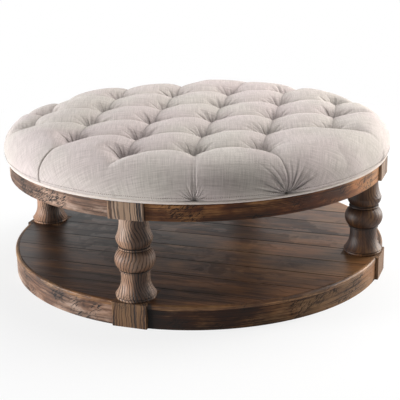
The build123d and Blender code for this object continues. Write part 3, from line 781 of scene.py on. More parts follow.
# The pleats that the photograph shows plainly
SEEN_PLEATS = {
    (-2, -1): Pleat(drift=8.0, early=5.0, line=(0.008, 0.008, 0.007), fan=0, foot_fan=0.0),
    (-1, -2): Pleat(drift=1.0, line=(0.001, 0.0004, 0.0), fan=4, fan_length=0.05, fan_depth=0.006,
                    fan_spread=0.4, fan_stand=0.42, foot_fan=0.0),
    (0, -2): Pleat(drift=0.4, line=(0.0022, 0.0016, 0.0022), gap=0.009, fan=4, fan_length=0.07,
                   fan_depth=0.003, fan_spread=0.3, foot_fan=0.03),
    (1, -2): Pleat(drift=-1.5, line=(0.0026, 0.0024, 0.003), fan=7, fan_length=0.1, fan_depth=0.006,
                   fan_spread=0.9, foot_fan=0.068),
}


@dataclass(frozen=True)
class ClothRun:
    """How the cover settles over its filling in a short run of Blender's cloth, on a coarser grid."""

    coarser: int = 4
    frames: int = 20
    quality: int = 6
    pressure: float = 26.0
    slack: float = 0.005
    stretch: float = 12.0
    bending: float = 2.0
    cap: float = 0.006
    calming: int = 6
    hold_steps: int = 20
    held_beside: float = 0.014
    held_by_pleat: float = 0.02
    held_at_foot: tuple[float, float] = (0.03, 0.05)

    def settle(self, points: np.ndarray, quads: np.ndarray, hold: np.ndarray,
               material: bpy.types.Material) -> np.ndarray:
        """Blow the cover up from inside while its creases, pleats and foot are held.

        Args:
            points: the coarse cover's points.
            quads: its faces.
            hold: how firmly each point is held, from 0 to 1.
            material: the cover's finish.

        Returns:
            Where each point settles.
        """
        piece = build_piece("cloth_run", points, quads, material)
        group = piece.vertex_groups.new(name="held")
        levels = np.round(hold * self.hold_steps)
        for level in np.unique(levels):
            group.add(np.flatnonzero(levels == level).tolist(), level / self.hold_steps, "REPLACE")
        cloth = piece.modifiers.new("cloth", "CLOTH")
        settings = cloth.settings
        settings.quality = self.quality
        settings.tension_stiffness = settings.compression_stiffness = self.stretch
        settings.bending_stiffness = self.bending
        settings.use_pressure = True
        settings.uniform_pressure_force = self.pressure
        settings.shrink_min = -self.slack
        settings.vertex_group_mass = group.name
        settings.effector_weights.gravity = 0.0
        cloth.collision_settings.use_collision = False
        scene = bpy.context.scene
        for step in range(1, self.frames + 1):
            scene.frame_set(step)
        settled = piece.evaluated_get(bpy.context.evaluated_depsgraph_get()).to_mesh()
        places = np.empty(points.size, np.float32)
        settled.vertices.foreach_get("co", places)
        scene.frame_set(1)
        mesh = piece.data
        bpy.data.objects.remove(piece)
        bpy.data.meshes.remove(mesh)
        return places.reshape(-1, 3)


@dataclass
class TuftedCushion:
    """The cushion: a crowned round of cloth, drawn down along the creases, at the tufts and in the pleats.

    The cloth is laid flat first, with its middle at the middle of the table. A point of it is taken out to
    the padded outline of the round, and from there sunk along the outline's own normal. Pairs named fold
    give the least of a length and how much more the largest fold has.
    """

    lattice: TuftLattice = field(default_factory=TuftLattice)
    run: ClothRun = field(default_factory=ClothRun)
    outline: tuple[tuple[float, float], ...] = (
        (0.0, 0.4908), (0.12, 0.4906), (0.24, 0.4902), (0.36, 0.4893), (0.44, 0.4877), (0.49, 0.4853),
        (0.53, 0.4803), (0.5655, 0.4700), (0.594, 0.4500), (0.6095, 0.4275), (0.6134, 0.4070),
        (0.6126, 0.3940), (0.6106, 0.3862), (0.6080, 0.3819), (0.6040, 0.3799), (0.5990, 0.3792),
        (0.5964, 0.3727),
    )
    outline_steps: int = 40
    crease_depth: float = 0.024
    crease_middle: float = 0.6
    crease_reach: float = 0.094
    pit_depth: float = 0.023
    pit_reach: float = 0.07
    meeting_power: float = 1.9
    rim_ease: float = 0.25
    hem: float = 0.014
    mouth_depth: float = 0.036
    mouth_length: float = 0.12
    mouth_widths: tuple[float, float] = (0.085, 0.02)
    tuck_depth: float = 0.0045
    tuck_width: float = 0.0026
    fold_shares: tuple[float, ...] = (0.14, 0.29, 0.43, 0.57, 0.71, 0.86)
    fold_start: float = 0.004
    fold_end: tuple[float, float] = (0.024, 0.056)
    fold_depth: tuple[float, float] = (0.0034, 0.0056)
    fold_width: tuple[float, float] = (0.0024, 0.0016)
    fan_width: float = 0.0038
    unrest: float = 0.0009
    gather_reach: float = 0.042
    cell_steps: int = 64
    border_steps: int = 84
    pleat_steps: int = 16
    cell_pull: float = 0.72
    border_pull: float = 0.4
    pocket_radius: float = 0.5886
    pocket_top: float = 0.3876
    pocket_inner: float = 0.3
    seed: int = 11

    def __post_init__(self) -> None:
        """Trace the outline finely, measure along it, and lay out the pleats and the folds."""
        self.line = smooth_run(np.array(self.outline), self.outline_steps)
        step = np.gradient(self.line, axis=0)
        step /= np.linalg.norm(step, axis=1, keepdims=True)
        self.normals = np.column_stack([-step[:, 1], step[:, 0]])
        runs = np.linalg.norm(np.diff(self.line, axis=0), axis=1)
        self.length = np.concatenate([[0], np.cumsum(runs)])
        self.reach = self.length[-1]
        self.dice = np.random.default_rng(self.seed)
        self.tufts = {n: self.unroll(p) for n, p in self.lattice.tufts.items()}
        self.kinds = {n: SEEN_PLEATS.get(n, self.plain_kind()) for n in self.lattice.rim}
        shares = np.linspace(0, 1, self.pleat_steps + 1)
        self.pleats = {n: self.pleat_path(n, shares) for n in self.lattice.rim}
        self.folds = self.lay_folds()

    def plain_kind(self) -> Pleat:
        """A pleat of the usual kind, with a little chance in it."""
        dice = self.dice
        return Pleat(
            drift=dice.uniform(-2.5, 2.5),
            fan=int(dice.integers(3, 8)),
            fan_length=dice.uniform(0.025, 0.05),
            gap=float(dice.choice([0.0, 0.008])),
            fan_depth=dice.uniform(0.001, 0.002),
        )

    def unroll(self, plan: np.ndarray) -> np.ndarray:
        """Where a point of the top, given in plan, lies on the flat cloth."""
        radius, widest = np.hypot(*plan), self.line[:, 0].argmax()
        return plan * np.interp(radius, self.line[:widest, 0], self.length[:widest]) / radius

    def pleat_angle(self, node: Node, share: np.ndarray) -> np.ndarray:
        """How far a pleat has drifted round at each share of its length, in radians."""
        kind = self.kinds[node]
        return math.radians(kind.drift) * (1 - (1 - share) ** kind.early)

    def pleat_path(self, node: Node, share: np.ndarray) -> np.ndarray:
        """Points of a pleat on the flat cloth, from its tuft to the welt, drifting to the foot's angle."""
        x, y = self.tufts[node]
        radius = math.hypot(x, y) + (self.reach - math.hypot(x, y)) * share
        return on_circle(radius, math.atan2(y, x) + self.pleat_angle(node, share))

    def lay_folds(self) -> list[tuple[np.ndarray, np.ndarray, float, float]]:
        """Lay out the short folds round each tuft and above the foot of each pleat.

        Returns:
            For each fold its start, its end, its depth and its width, on the flat cloth in metres.
        """
        folds = []
        spans = (self.fold_end, self.fold_depth, self.fold_width)
        u, v = self.lattice.angle_u, self.lattice.angle_v
        corners = (u, v, u + math.pi, v + math.pi, u)
        for tuft in self.tufts.values():
            for low, high in zip(corners, corners[1:]):
                span = (high - low) % math.tau
                for share in self.fold_shares:
                    way = facing(low + span * (share + self.dice.uniform(-0.05, 0.05)))
                    size = self.dice.uniform(0.0, 1.0) ** 1.2
                    reach, depth, width = (least + more * size for least, more in spans)
                    folds.append((tuft + way * self.fold_start, tuft + way * reach, depth, width))
        for node, kind in self.kinds.items():
            foot = self.pleats[node][round(self.pleat_steps * kind.fan_stand)]
            inward = math.atan2(-foot[1], -foot[0])
            start = foot * (1 - 0.01 / np.hypot(*foot))
            for share in np.linspace(-1, 1, kind.fan):
                way = facing(inward + share * kind.fan_spread + self.dice.uniform(-0.07, 0.07))
                size = self.dice.uniform(0.4, 1.0)
                end = start + way * kind.fan_length * size
                folds.append((start, end, kind.fan_depth * size, self.fan_width))
        return folds

    def lift(self, flat: np.ndarray, sink: np.ndarray | float = 0.0) -> np.ndarray:
        """Take points of the flat cloth to the padded outline and sink them along its normal.

        Args:
            flat: places on the flat cloth.
            sink: how far each is drawn in.

        Returns:
            Places in space.
        """
        radius = np.maximum(np.hypot(flat[:, 0], flat[:, 1]), 1e-9)
        out, high = (
            np.interp(radius, self.length, self.line[:, axis])
            - sink * np.interp(radius, self.length, self.normals[:, axis])
            for axis in (0, 1)
        )
        return np.column_stack([out * flat[:, 0] / radius, out * flat[:, 1] / radius, high])

    def sink(self, flat: np.ndarray) -> tuple[np.ndarray, np.ndarray]:
        """How far the cloth is drawn in.

        Args:
            flat: places on the flat cloth.

        Returns:
            The depth at each: a parabola away from each crease and pleat, joined where they meet by the
            root of their summed powers, with a narrow tuck on the crease itself and the short folds on top.
            Then the part of it that is tucks and short folds.
        """
        power = self.meeting_power
        radius = np.hypot(flat[:, 0], flat[:, 1])
        rim_calm = 1 - self.rim_ease * (np.minimum(radius, 0.5) / 0.6) ** 2
        total, tuck, short = np.zeros((3, len(flat)))
        for first, second in self.lattice.creases:
            share, off = off_stroke(flat, self.tufts[first], self.tufts[second])
            near = self.crease_middle + (1 - self.crease_middle) * np.abs(2 * share - 1) ** 1.6
            rise = np.clip(1 - off / self.crease_reach, 0, None) ** 2
            total += (self.crease_depth * rim_calm * near * rise) ** power
            tuck = np.maximum(tuck, self.tuck_depth * near * np.exp(-off / self.tuck_width))
        for tuft in self.tufts.values():
            off = np.linalg.norm(flat - tuft, axis=1)
            total += (self.pit_depth * np.clip(1 - off / self.pit_reach, 0, None) ** 1.5) ** power
        for node, path in self.pleats.items():
            mouth, fold = self.pleat_sink(flat, self.kinds[node], path)
            total += mouth**power
            tuck = np.maximum(tuck, fold)
        for start, end, depth, width in self.folds:
            close = np.flatnonzero(np.abs(flat - start).max(axis=1) < 0.1)
            share, off = off_stroke(flat[close], start, end)
            short[close] += depth * (1 - share) ** 0.8 * np.exp(-((off / (width * (0.6 + 0.7 * share))) ** 2))
        hem = np.clip((self.reach - radius) / self.hem, 0, 1)
        unrest = self.unrest * np.sin(flat[:, 0] * 31 + 1.3) * np.sin(flat[:, 1] * 27 + 0.4)
        return (total ** (1 / power) + tuck + short + unrest + 0.001) * ease(hem), tuck + short

    def pleat_sink(self, flat: np.ndarray, kind: Pleat, path: np.ndarray) -> tuple[np.ndarray, np.ndarray]:
        """How far one pleat draws the cloth in.

        Args:
            flat: places on the flat cloth.
            kind: how the pleat is folded.
            path: points along the pleat.

        Returns:
            The depth of the mouth, a valley that opens out from the tuft and shallows away from it, and
            the depth of the fold's own sharp line or pair of lines.
        """
        mouth, fold = np.zeros((2, len(flat)))
        pieces = len(path) - 1
        length = np.linalg.norm(np.diff(path, axis=0), axis=1).sum()
        close = np.flatnonzero(np.linalg.norm(flat - path[pieces // 2], axis=1) < length * 0.5 + 0.12)
        wide, narrow = self.mouth_widths
        for index in range(pieces):
            share, off = off_stroke(flat[close], path[index], path[index + 1])
            run = (index + share) / pieces
            far = np.clip(1 - run * length / self.mouth_length, 0, 1)
            width = narrow + (wide - narrow) * far
            deep = self.mouth_depth * far**1.1 * np.clip(1 - off / width, 0, None) ** 2
            mouth[close] = np.maximum(mouth[close], deep)
            beside = np.abs(off - kind.gap / 2 * np.minimum(1, run * 4))
            fine = np.interp(run, (0, 0.5, 1), kind.line) * np.exp(-beside / self.tuck_width * 1.4)
            fold[close] = np.maximum(fold[close], fine)
        return mouth, fold

    def crease_points(self, nodes: Sequence[Node]) -> np.ndarray:
        """Points on the flat cloth along the creases that join a run of tufts."""
        share = dense_ends(self.cell_steps, self.cell_pull)[:, None]
        parts = [self.tufts[a] * (1 - share) + self.tufts[b] * share for a, b in zip(nodes, nodes[1:])]
        return np.vstack([parts[0]] + [part[1:] for part in parts[1:]])

    def cell_patch(self, cell: Node) -> tuple[np.ndarray, np.ndarray]:
        """The grid over one cell of the lattice: its four tufts mixed by the shares along both sides."""
        share = dense_ends(self.cell_steps, self.cell_pull)
        across, down = (part.reshape(-1, 1) for part in np.meshgrid(share, share))
        a, b, c, d = (self.tufts[node] for node in self.lattice.corners(cell))
        flat = (a * (1 - across) + b * across) * (1 - down) + (d * (1 - across) + c * across) * down
        return flat, grid_quads(self.cell_steps + 1, self.cell_steps + 1)

    def border_patch(self, first: Node, second: Node) -> tuple[np.ndarray, np.ndarray]:
        """The grid of the border between two pleats.

        Args:
            first: the tuft at its clockwise side.
            second: the tuft at its other side.

        Returns:
            Its points on the flat cloth and its faces. Radius and angle run from the crease's to the
            welt's, and the angle drifts as the pleats' do.
        """
        inner = self.crease_points(self.lattice.between(first, second))
        radius_in = np.hypot(inner[:, 0], inner[:, 1])
        angle_in = np.unwrap(np.arctan2(inner[:, 1], inner[:, 0]))
        base = math.atan2(self.tufts[first][1], self.tufts[first][0])
        angle_in += base - angle_in[0]
        run = np.concatenate([[0], np.cumsum(np.linalg.norm(np.diff(inner, axis=0), axis=1))])
        run /= run[-1]
        share = dense_ends(self.border_steps, self.border_pull)[:, None]
        radius = radius_in + (self.reach - radius_in) * share
        straight = base + (angle_in[-1] - base) * run
        angle = angle_in + (straight - angle_in) * ease(share)
        angle = angle + self.pleat_angle(first, share) * (1 - run) + self.pleat_angle(second, share) * run
        quads = grid_quads(self.border_steps + 1, len(inner))[:, ::-1]
        return on_circle(radius.ravel(), angle.ravel()), quads

    def cover_grid(self) -> tuple[np.ndarray, np.ndarray, np.ndarray, np.ndarray, list[tuple[int, int]]]:
        """Lay out the cover's patches and weld them.

        Returns:
            The welded points on the flat cloth, the faces, the welded point of each patch point, the patch
            point of each welded point, and the rows and columns of each patch.
        """
        rim, cells = self.lattice.rim, self.lattice.cells
        patches = [self.cell_patch(cell) for cell in cells]
        patches += [self.border_patch(a, b) for a, b in zip(rim, rim[1:] + rim[:1])]
        rows = [self.cell_steps + 1] * len(cells) + [self.border_steps + 1] * len(rim)
        shapes = [(count, len(part) // count) for count, (part, _) in zip(rows, patches)]
        offsets = np.cumsum([0] + [len(part) for part, _ in patches])
        flat = np.vstack([part for part, _ in patches])
        quads = np.vstack([faces + offset for (_, faces), offset in zip(patches, offsets)])
        near = np.round(flat * 1e5).astype(np.int64)
        _, keep, place = np.unique(near, axis=0, return_index=True, return_inverse=True)
        place = place.ravel()
        return flat[keep], place[quads], place, keep, shapes

    def settle(self, material: bpy.types.Material) -> np.ndarray:
        """Let the cover settle on a coarse copy of its grid.

        Args:
            material: the cover's finish.

        Returns:
            How far each patch point of the fine grid moves: the coarse grid's moves, evened, capped and
            carried smoothly over each patch.
        """
        run = self.run
        coarse = replace(self, cell_steps=self.cell_steps // run.coarser,
                         border_steps=self.border_steps // run.coarser)
        flat, quads, place, _, shapes = coarse.cover_grid()
        creases = [(self.tufts[a], self.tufts[b]) for a, b in self.lattice.creases]
        pleats = [stroke for path in self.pleats.values() for stroke in zip(path, path[1:])]
        beside = np.min([off_stroke(flat, *stroke)[1] for stroke in creases], axis=0) / run.held_beside
        by_pleat = np.min([off_stroke(flat, *stroke)[1] for stroke in pleats], axis=0) / run.held_by_pleat
        from_foot = self.reach - np.hypot(flat[:, 0], flat[:, 1])
        near_foot, past_foot = run.held_at_foot
        foot_hold = (past_foot - from_foot) / (past_foot - near_foot)
        hold = np.maximum(1 - np.minimum(beside, by_pleat), foot_hold).clip(0, 1)
        depth, fold = coarse.sink(flat)
        drawn = coarse.lift(flat, depth - fold)
        moves = run.settle(drawn, quads, hold, material) - drawn
        moves = calm(moves, quads, run.calming) * (1 - hold[:, None])
        length = np.linalg.norm(moves, axis=1, keepdims=True)
        log.info("cloth run: moves of %.4f at most and %.4f on average", length.max(), length.mean())
        moves = (moves * np.minimum(1, run.cap / np.maximum(length, 1e-9)))[place]
        fine, start = [], 0
        for rows, columns in shapes:
            grid = moves[start:start + rows * columns].reshape(rows, columns, 3)
            start += rows * columns
            for _ in range(2):
                grid = smooth_run(grid, run.coarser).swapaxes(0, 1)
            fine.append(grid.reshape(-1, 3))
        return np.vstack(fine)

    def mark(self, piece: bpy.types.Object, flat: np.ndarray, depth: np.ndarray, fold: np.ndarray) -> None:
        """Mark on the cushion where its cloth is gathered, and where painted shade darkens its folds and the
        places sunk deepest.

        Args:
            piece: the cushion.
            flat: its points on the flat cloth.
            depth: how far the cover's points are drawn in.
            fold: the part of it that is tucks and short folds.
        """
        tufts = np.array(list(self.tufts.values()))
        feet = np.array([self.pleats[node][-1] * (1 - self.hem / self.reach) for node in self.kinds])
        fans = np.array([max(kind.foot_fan, 0.001) for kind in self.kinds.values()])
        fields = {"gather": (tufts, np.full(len(tufts), self.gather_reach)), "foot_gather": (feet, fans)}
        rows = np.arange(len(flat))
        for name, (centres, reach) in fields.items():
            away = flat[:, None, :] - centres[None, :, :]
            distance = np.hypot(away[..., 0], away[..., 1])
            nearest = distance.argmin(axis=1)
            strength = np.exp(-((distance[rows, nearest] / reach[nearest]) ** 2)) * (reach[nearest] > 0.001)
            values = np.column_stack([away[rows, nearest] * 10, strength]).astype(np.float32)
            gather = piece.data.attributes.new(name, "FLOAT_VECTOR", "POINT")
            gather.data.foreach_set("vector", values.ravel())
        # Painted shade: darker along the tucks and short folds and where the cloth is sunk deepest
        dark = np.zeros(len(flat), np.float32)
        folded, sunk = np.clip((fold - 0.0012) / 0.0055, 0, 1), np.clip((depth - 0.024) / 0.028, 0, 1)
        dark[:len(depth)] = folded * 0.75 + sunk * 0.4
        hollow = piece.data.attributes.new("hollow", "FLOAT", "POINT")
        hollow.data.foreach_set("value", dark)

    def build(self, material: bpy.types.Material) -> bpy.types.Object:
        """Join the patches, shape them and close the piece underneath.

        Args:
            material: the cover's finish.

        Returns:
            The cushion.
        """
        flat, quads, _, keep, _ = self.cover_grid()
        depth, fold = self.sink(flat)
        points = self.lift(flat, depth) + self.settle(material)[keep]

        edge = np.flatnonzero(np.hypot(flat[:, 0], flat[:, 1]) > self.reach - 1e-4)
        edge = edge[np.argsort(np.arctan2(flat[edge, 1], flat[edge, 0]))]
        angle = np.arctan2(flat[edge, 1], flat[edge, 0])
        count, base = len(edge), len(points)
        wide, top = self.pocket_radius, self.pocket_top
        under = ((wide, points[edge[0], 2]), (wide, top), (self.pocket_inner, top))
        rings = [np.column_stack([on_circle(radius, angle), np.full(count, high)]) for radius, high in under]
        points = np.vstack([points, *rings, [[0.0, 0.0, top]]])
        rows = np.vstack([edge[None, :], base + np.arange(3 * count).reshape(3, count)])
        low, high = rows[:-1], rows[1:]
        strips = np.stack([low, high, np.roll(high, -1, axis=1), np.roll(low, -1, axis=1)], axis=-1)
        cap = np.column_stack([rows[-1], np.full(count, len(points) - 1), np.roll(rows[-1], -1)])
        flat = np.vstack([flat, points[base:, :2]])
        body = np.vstack([quads, strips.reshape(-1, 4)])
        piece = build_piece("cushion_cover", points, body, material, flat, cap)
        self.mark(piece, flat, depth, fold)
        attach(piece, "root")
        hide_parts("cushion")
        log.info("cushion: %d faces, %d tufts", len(body), len(self.tufts))
        return piece


@dataclass
class Welt:
    """The covered cord round the foot of the cushion, and the row of stitches above it."""

    radius: float = 0.6026
    height: float = 0.3766
    thickness: float = 0.0048
    pucker: float = 0.02
    pucker_count: int = 173
    steps_round: int = 900
    steps_across: int = 12
    stitch_count: int = 620
    stitch_length: float = 0.0034
    stitch_width: float = 0.0008
    stitch_height: float = 0.3915
    seam_top: float = 0.41

    def build(self, material: bpy.types.Material) -> bpy.types.Object:
        """Carry a circle round the table: the cord's radius swells a little as the cloth puckers.

        Args:
            material: the piping's finish.

        Returns:
            The welt.
        """
        angle = np.linspace(0, math.tau, self.steps_round, endpoint=False)
        turn = np.linspace(0, math.tau, self.steps_across, endpoint=False)
        angle, turn = (part.ravel() for part in np.meshgrid(angle, turn, indexing="ij"))
        tube = self.thickness * (1 + self.pucker * np.sin(angle * self.pucker_count) - self.pucker)
        points = np.column_stack([on_circle(self.radius + tube * np.cos(turn), angle),
                                  self.height + tube * np.sin(turn)])
        quads = grid_quads(self.steps_round + 1, self.steps_across, closed=True)
        quads = quads[:, [0, 3, 2, 1]] % len(points)
        flat = np.column_stack([angle * self.radius, turn * self.thickness])
        piece = build_piece("welt_piping", points, quads, material, flat)
        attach(piece, "root")
        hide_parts("welt_cord")
        log.info("welt: %d faces", len(quads))
        return piece

    def stitches(self, cushion: TuftedCushion, material: bpy.types.Material) -> bpy.types.Object:
        """Sew a row of short stitches on the cushion just above the welt.

        Args:
            cushion: the cushion, whose own shape says where the cloth lies.
            material: the thread's finish.

        Returns:
            The stitches, as one piece. Each is a small ellipsoid along the seam.
        """
        lower = cushion.line[:, 1] < self.seam_top
        reach = np.interp(-self.stitch_height, -cushion.line[lower, 1], cushion.length[lower])
        angle = np.linspace(0, math.tau, self.stitch_count, endpoint=False)
        flat = on_circle(reach, angle)
        centre = cushion.lift(flat, cushion.sink(flat)[0] - self.stitch_width * 0.4)
        level = np.zeros_like(angle)
        along = np.column_stack([-np.sin(angle), np.cos(angle), level])
        out = np.column_stack([np.cos(angle), np.sin(angle), level])
        rows, columns = 5, 6
        lat, lon = np.meshgrid(np.linspace(0.12, math.pi - 0.12, rows),
                               np.linspace(0, math.tau, columns, endpoint=False), indexing="ij")
        a = (np.cos(lat) * self.stitch_length / 2).reshape(1, -1, 1)
        b = (np.sin(lat) * np.cos(lon) * self.stitch_width).reshape(1, -1, 1)
        c = (np.sin(lat) * np.sin(lon) * self.stitch_width).reshape(1, -1, 1)
        points = centre[:, None] + a * along[:, None] + b * out[:, None] + c * np.array([0.0, 0.0, 1.0])
        ends = np.array([[3, 2, 1, 0], [5, 4, 3, 0], [24, 25, 26, 27], [24, 27, 28, 29]])
        first = (np.arange(self.stitch_count) * rows * columns)[:, None, None]
        faces = [(part + first).reshape(-1, 4) for part in (grid_quads(rows, columns, closed=True), ends)]
        piece = build_piece("seam_stitches", points.reshape(-1, 3), np.vstack(faces), material)
        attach(piece, "root")
        log.info("stitches: %d", self.stitch_count)
        return piece


@dataclass
class DustCover:
    """The thin black cloth that closes the top frame from below, cut round the blocks."""

    radius: float = 0.5755
    height: float = 0.3331
    block_face: float = 0.4855
    block_half: float = 0.053
    droop: float = 0.004
    droop_reach: float = 0.12
    hole: float = 0.002
    steps_round: int = 720
    steps_out: int = 16
    thickness: float = 0.0006

    def build(self, material: bpy.types.Material) -> bpy.types.Object:
        """Stretch the cloth.

        Args:
            material: its finish.

        Returns:
            The cover: rows from the middle to the cut edge, hanging a little between the bearers.
        """
        count = self.steps_round
        angle = np.linspace(0, math.tau, count, endpoint=False)
        fold = np.abs((angle + QUARTER / 2) % QUARTER - QUARTER / 2)
        across = np.minimum(self.block_face / np.cos(fold), self.radius)
        beside = np.minimum((self.block_half / np.maximum(np.sin(fold), 1e-6)).clip(0), self.radius)
        edge = np.where(fold < math.atan2(self.block_half, self.block_face), across, beside)
        edge = np.where(fold > math.asin(self.block_half / self.radius), self.radius, edge)
        share = np.linspace(self.hole, 1, self.steps_out)[:, None]
        x, y = share * edge * np.cos(angle), share * edge * np.sin(angle)
        bearer = np.minimum(np.abs(x), np.abs(y))
        sag = self.droop * (1 - np.exp(-((bearer / self.droop_reach) ** 2))) * np.sin(np.pi * share)
        points = np.stack([x, y, self.height - sag], axis=-1).reshape(-1, 3)
        quads = grid_quads(self.steps_out, count, closed=True)[:, ::-1]
        middle = np.arange(count // 2 - 1)
        opposite = (count - 1 - middle) % count
        closing = np.column_stack([middle + 1, middle, opposite, (count - 2 - middle) % count])
        piece = build_piece("dust_cloth", points, np.vstack([quads, closing]), material, points[:, :2])
        solid = piece.modifiers.new("thickness", "SOLIDIFY")
        solid.thickness, solid.offset = self.thickness, 0.0
        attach(piece, "root")
        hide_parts("dust_cover")
        return piece


@dataclass
class WoodAndSteel:
    """The CAD nodes that keep their own shapes, each dressed in its finish."""

    finishes: dict[str, Any]

    def dress(self) -> None:
        """Give every node that stays its own finish or that of its record's slot."""
        made = {name: finish.material() for name, finish in self.finishes.items()}
        slots = {part["node"]: part["material_slot"] for part in frame["record"]["subparts"]}
        for name, piece in frame["nodes"].items():
            finish = made.get(name) or made.get(slots.get(name, "steel"))
            if finish is not None:
                piece.data.materials.clear()
                piece.data.materials.append(finish)
        log.info("dressed %d nodes", len(frame["nodes"]))


@dataclass(frozen=True)
class Lamp:
    """A square soft light: where it hangs, given from the camera's side, its size, its power and its tint."""

    name: str
    stand: tuple[float, float, float]
    size: float
    power: float
    tint: Colour


@dataclass
class Studio:
    """The pale floor, the soft lights and the camera at the photograph's angle."""

    eye: tuple[float, float, float] = (1.10299, -3.13335, 1.25909)
    turn: float = math.radians(19.27)
    yaw: float = -0.00043047
    pitch: float = 0.311125148
    roll: float = -0.0180111618
    lens: float = 95.694
    sensor: float = 36.0
    aim: tuple[float, float, float] = (0.0, 0.0, 0.3)
    ambient: float = 0.16
    floor_reach: float = 30.0
    lamps: tuple[Lamp, ...] = (
        Lamp("left_softbox", (-1.0, -5.6, 0.7), 2.0, 545, (0.97, 0.985, 1.0)),
        Lamp("right_softbox", (1.2, 3.1, 1.0), 1.8, 165, (1.0, 0.97, 0.93)),
        Lamp("top_softbox", (1.0, 0.8, 3.4), 2.4, 100, (1.0, 1.0, 1.0)),
    )

    def towards(self, along: float, beside: float, up: float) -> tuple[float, float, float]:
        """A place given from the camera's side: away from it, to its right, and up."""
        c, s = math.cos(self.turn), math.sin(self.turn)
        return (beside * c - along * s, beside * s + along * c, up)

    def put(self, name: str, data: Any, axes: np.ndarray, place: Sequence[float]) -> bpy.types.Object:
        """Put a camera or a lamp into the scene.

        Args:
            name: its name.
            data: the camera's or lamp's own data.
            axes: its right, up and back axes, as columns.
            place: where it stands.

        Returns:
            The camera or lamp.
        """
        thing = bpy.data.objects.new(name, data)
        bpy.context.scene.collection.objects.link(thing)
        matrix = np.eye(4)
        matrix[:3, :3], matrix[:3, 3] = axes, place
        thing.matrix_world = Matrix(matrix.tolist())
        return thing

    def camera(self) -> None:
        """Set the camera: its right and up axes from yaw, pitch and roll, turned with the table's frame."""
        cy, sy, cp, sp = math.cos(self.yaw), math.sin(self.yaw), math.cos(self.pitch), math.sin(self.pitch)
        ahead = np.array([sy * cp, cy * cp, -sp])
        right = np.array([cy, -sy, 0.0])
        up = np.cross(right, ahead)
        c, s = math.cos(self.roll), math.sin(self.roll)
        axes = np.column_stack([c * right + s * up, c * up - s * right, -ahead])
        c, s = math.cos(self.turn), math.sin(self.turn)
        data = bpy.data.cameras.new("camera")
        data.sensor_fit, data.sensor_width, data.lens = "HORIZONTAL", self.sensor, self.lens
        data.clip_start, data.clip_end = 0.05, 60.0
        spin = np.array([[c, -s, 0], [s, c, 0], [0, 0, 1]])
        bpy.context.scene.camera = self.put("camera", data, spin @ axes, self.eye)

    def hang(self, lamp: Lamp) -> None:
        """Hang a lamp so that it looks at the table."""
        data = bpy.data.lights.new(lamp.name, "AREA")
        data.size, data.energy, data.color = lamp.size, lamp.power, lamp.tint
        place = self.towards(*lamp.stand)
        back = np.subtract(place, self.aim)
        back /= np.linalg.norm(back)
        side = np.cross([0.0, 0.0, 1.0], back)
        side /= np.linalg.norm(side)
        self.put(lamp.name, data, np.column_stack([side, np.cross(back, side), back]), place)

    def world(self) -> None:
        """Light evenly from all round, with white behind for the camera and for gloss."""
        world = bpy.data.worlds.new("studio")
        bpy.context.scene.world = world
        world.use_nodes = True
        tree = world.node_tree
        tree.nodes.clear()
        kinds = ("LightPath", "Math", "Background", "Background", "MixShader", "OutputWorld")
        seen, either, even, white, mix, out = (tree.nodes.new(f"ShaderNode{kind}") for kind in kinds)
        for light, strength in ((even, self.ambient), (white, 1.0)):
            light.inputs["Color"].default_value = (1.0, 1.0, 1.0, 1.0)
            light.inputs["Strength"].default_value = strength
        either.operation = "MAXIMUM"
        tree.links.new(seen.outputs["Is Camera Ray"], either.inputs[0])
        tree.links.new(seen.outputs["Is Glossy Ray"], either.inputs[1])
        for index, node in enumerate((either, even, white)):
            tree.links.new(node.outputs[0], mix.inputs[index])
        tree.links.new(mix.outputs[0], out.inputs[0])

    def floor(self) -> None:
        """Lay the pale floor. To the camera it turns white away from the table, and keeps its shadow."""
        shade = Shade("studio_floor")
        shade.dress(base_color=(0.86, 0.86, 0.86), roughness=0.9)
        glow = shade.node("ShaderNodeEmission", {}, {"Color": (1.0, 1.0, 1.0), "Strength": 1.0})
        seen = shade.node("ShaderNodeLightPath")
        x, y, _ = shade.place()
        far = (x * x + y * y).root().between(0.8, 2.4)
        either = Value(shade, seen.outputs["Is Camera Ray"]).most(seen.outputs["Is Glossy Ray"])
        sockets = {0: either * (far * 0.2 + 0.8), 1: shade.surface.outputs[0], 2: glow.outputs[0]}
        mix = shade.node("ShaderNodeMixShader", {}, sockets)
        out = next(node for node in shade.tree.nodes if node.type == "OUTPUT_MATERIAL")
        shade.tree.links.new(mix.outputs[0], out.inputs["Surface"])
        points = np.array([[-1, -1, 0], [1, -1, 0], [1, 1, 0], [-1, 1, 0]]) * self.floor_reach
        build_piece("studio_floor", points, np.array([[0, 1, 2, 3]]), shade.material)

    def build(self) -> None:
        """Set the stage."""
        self.camera()
        self.world()
        self.floor()
        for lamp in self.lamps:
            self.hang(lamp)
        bpy.context.scene.view_settings.view_transform = "Standard"
        log.info("studio set")


